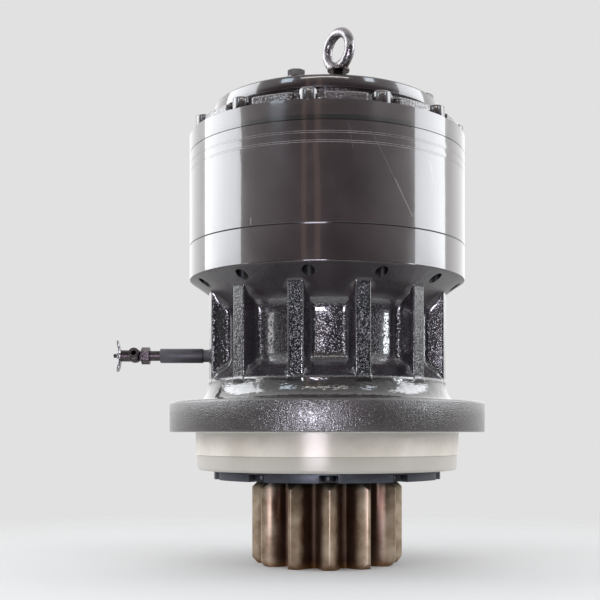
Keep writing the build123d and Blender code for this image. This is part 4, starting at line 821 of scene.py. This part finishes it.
# Gloss enamel, smooth on the turned rim and lumpy on the cast pads, where brown dust sits.
cover_enamel = finish("gloss_enamel_on_cast_iron_cover", enamel_shades, (0.16, 0.26),
                      ((1.8, 0.60, (1, 1, 1), 0.48), (5.0, 0.15, (1, 1, 1))), coat=1.0, coat_gloss=0.04, ior=1.8,
                      cast_from=353.4,
                      stains=(("hollow", 0.60, 0.25, "#33221B", 0.8), ("height", 336.9, 336.7, "#0A0808", 1.0)))
dress(cover_enamel, "top_cover")
# Enamelled screw head: the knurling shows through the paint.
screw_enamel = finish("gloss_enamel_on_steel_screw", ("#2C2427", "#3A3034"), (0.18, 0.28),
                      ((1.6, 0.05, (1, 1, 1)),), coat=1.0, coat_gloss=0.06, ior=1.8)
screw_seat = 0.353
screws = socket_screw("cover_socket_screws", 0.0105, 0.014, 0.0069, 0.170, 0.012, 36, 0.00025)
ring_of(screws, count=screw_count, circle_radius=screw_circle, start_angle=math.radians(first_screw),
        height=screw_seat, turn_jitter=2 * math.pi, seed=5, finish=screw_enamel)
smooth_to(screws, 30)
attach(screws, "housing")
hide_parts("cover_screws")

# Adapter plate: a turned steel disc that takes the motor, enamelled with the rest. Four M12
# hexagon bolts with spring washers hold it on the cover's neck.

broken_edge = 0.0004
plate = softened("adapter_plate", "motor_adapter_plate", broken_edge)
set_finishes(plate, turned_enamel, satin_enamel)
for face in plate.data.polygons:
    face.material_index = int(0.05 < abs(face.normal.z) < 0.97)
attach(plate, "housing")
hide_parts("adapter_plate")

bolt_count = 4
bolt_circle = 0.120
first_bolt = 73.5
bolt_seat = 0.3925
head_width = 0.019
face_radius = 0.0091
bolt_angles = 2 * math.pi * np.arange(48) / 48
six = hexagon(bolt_angles, head_width)
# (radius, height) from the end of the shank up to the head, whose corners are turned off at 30
# degrees.
rows = [(0, -0.0305), (0.0050, -0.0305), (0.0060, -0.0293), (0.0060, -0.0002), (0.0066, 0), (0.0090, 0),
        (0.0090, 0.0004), (six, 0.0004)]
rows += [(np.minimum(six, face_radius + (0.0075 - z) / math.tan(math.radians(30))), z)
         for z in (0.0062, 0.0065, 0.0068, 0.0071, 0.0073, 0.0075)]
rows += [(0.0030, 0.0075), (0, 0.0075)]
bolts = spun("plate_hexagon_bolts", rows, bolt_angles)
ring_of(bolts, count=bolt_count, circle_radius=bolt_circle, start_angle=math.radians(first_bolt), height=bolt_seat,
        turn_jitter=math.pi / 3, seed=8, finish=screw_enamel)
smooth_to(bolts, 30)
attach(bolts, "housing")
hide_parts("plate_bolts")
dress(screw_enamel, "plate_spring_washers")

# Lifting eye bolt: M12, drop-forged and zinc-plated, its ring turned a little out of square.
# It is screwed in by a few threads less than it could be, so that some thread shows.

eye_circle = 0.121
eye_angle = -84.1
eye_place = around(eye_circle, eye_angle, 0)
eye_turn = math.radians(-50)
collar = (0.397, 0.401)
ring_centre = 0.4210
ring_radius = 0.0190
bar_radius = 0.0057
ring_sides = 96
bar_sides = 24
thicker_below = 0.10
neck_angles = 2 * math.pi * np.arange(64) / 64
rows = [(0, collar[0]), (0.0115, collar[0]), (0.0125, collar[0] + 0.0008), (0.0125, collar[1] - 0.0008),
        (0.0117, collar[1] - 0.0001), (0.0110, collar[1]), (0.0092, 0.4018), (0.0074, 0.4032), (0.0060, 0.4052),
        (0, 0.4060)]
eye = spun("lifting_eye", rows, neck_angles)
bm = bmesh.new()
bm.from_mesh(eye.data)
loops = []
for i in range(ring_sides):
    a = 2 * math.pi * i / ring_sides
    out = Vector((math.cos(a), 0, math.sin(a)))
    bar = bar_radius * (1 + thicker_below * max(0, -math.sin(a)) ** 3)
    loops.append([bm.verts.new(Vector((0, 0, ring_centre)) + out * (ring_radius + bar * math.cos(b))
                               + Vector((0, bar * math.sin(b), 0)))
                  for b in (2 * math.pi * j / bar_sides for j in range(bar_sides))])
for i in range(ring_sides):
    here, following = loops[i], loops[(i + 1) % ring_sides]
    for j in range(bar_sides):
        k = (j + 1) % bar_sides
        bm.faces.new((here[j], here[k], following[k], following[j]))
bm.normal_update()
bm.to_mesh(eye.data)
bm.free()
remesh = eye.modifiers.new("forged in one", "REMESH")
remesh.mode = "VOXEL"
remesh.voxel_size = 0.0005
remesh.use_smooth_shade = True
soften = eye.modifiers.new("forging radii", "SMOOTH")
soften.factor = 0.5
soften.iterations = 8
applied(eye)
# The bolt's M12 thread: its depth follows a wave that climbs one pitch in a turn.
thread_angles = 2 * math.pi * np.arange(48) / 48
pitch = 0.00175
thread_end = 0.3771
rows = [(0, thread_end), (0.0045, thread_end)]
for z in np.arange(thread_end, 0.3975, pitch / 8):
    wave = np.abs(((z / pitch - thread_angles / (2 * math.pi)) % 1.0) * 2 - 1)
    rows.append((0.0050 + 0.0010 * np.clip(wave * 1.3 - 0.15, 0, 1), z))
rows += [(0.0045, 0.3980), (0, 0.3980)]
thread = spun("eye_bolt_thread", rows, thread_angles)
for thing in (eye, thread):
    thing.data.transform(Matrix.Translation(eye_place) @ Matrix.Rotation(eye_turn, 4, "Z"))
# Bright zinc plate, slightly dulled: a mirror with soft ripples of the forging under it. Its
# collar and neck are painted brown: a painted reflection of the enamel below them.
zinc_plate = finish("bright_zinc_plate", ("#7D787A", "#A9A5A9"), (0.22, 0.34),
                    ((3.0, 0.45, (1, 1, 1)), (1.0, 0.02, (1, 1, 1))), metallic=1.0, cloud=12.0,
                    stains=(("height", 404, 397, "#4A3A34", 0.7),))
# The thread under the collar is painted black: old grease and painted shade.
greasy_shaded_thread = finish("greasy_steel_thread", ("#1A1716", "#2C2826"), (0.30, 0.45),
                       ((0.8, 0.02, (1, 1, 1)),), metallic=0.6)
for thing, material in ((eye, zinc_plate), (thread, greasy_shaded_thread)):
    set_finishes(thing, material)
    smooth_to(thing, 50)
    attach(thing, "housing")
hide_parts("eye_bolt")

# Drain line: a hexagon nipple screwed into the boss in the left pocket, a steel pipe, and a
# small cock with a spout, a wing handle and its nut at the end. Turned steel and plated brass.

# Dark paint worn thin on a drawn steel pipe.
pipe_paint = finish("worn_paint_on_drawn_steel", ("#4E4C51", "#605E64"), (0.42, 0.55),
                    ((2.4, 0.12, (0.3, 1, 1)), (1.2, 0.04, (1, 1, 1))), metallic=0.35, cloud=18.0)
# Nickel-plated brass, dulled and dirty: warm grey, and painted dark brown in its corners as painted shade.
cock_plate = finish("dull_nickel_plated_brass", ("#3D373A", "#5C5558"), (0.26, 0.38),
                    ((2.2, 0.14, (1, 1, 1)), (0.9, 0.03, (1, 1, 1))), metallic=1.0, cloud=10.0,
                    stains=(("hollow", 0.6, 0.2, "#2B1F1A", 0.9),))
# Pressed steel wing, zinc-plated.
wing_plate = finish("zinc_plated_pressed_steel", ("#8B8A8C", "#ABAAAD"), (0.14, 0.26),
                    ((1.4, 0.04, (1, 1, 1)),), metallic=1.0, cloud=8.0)
for node, name, width, material, slot, body in (
        ("drain_nipple", "drain_nipple_dressed", 0.0005, pipe_paint, "pipe_steel", "housing"),
        ("drain_pipe", "drain_pipe_dressed", 0.0004, pipe_paint, "pipe_steel", "housing"),
        ("drain_wing_handle", "drain_wing", 0.0004, wing_plate, "bright_steel", "cock_handle"),
        ("drain_handle_nut", "drain_wing_nut", 0.0003, wing_plate, "bright_steel", "cock_handle")):
    thing = softened(node, name, width)
    set_finishes(thing, material)
    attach(thing, body)
    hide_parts(node)
dress(cock_plate, "drain_cock_body", "drain_cock_plug")
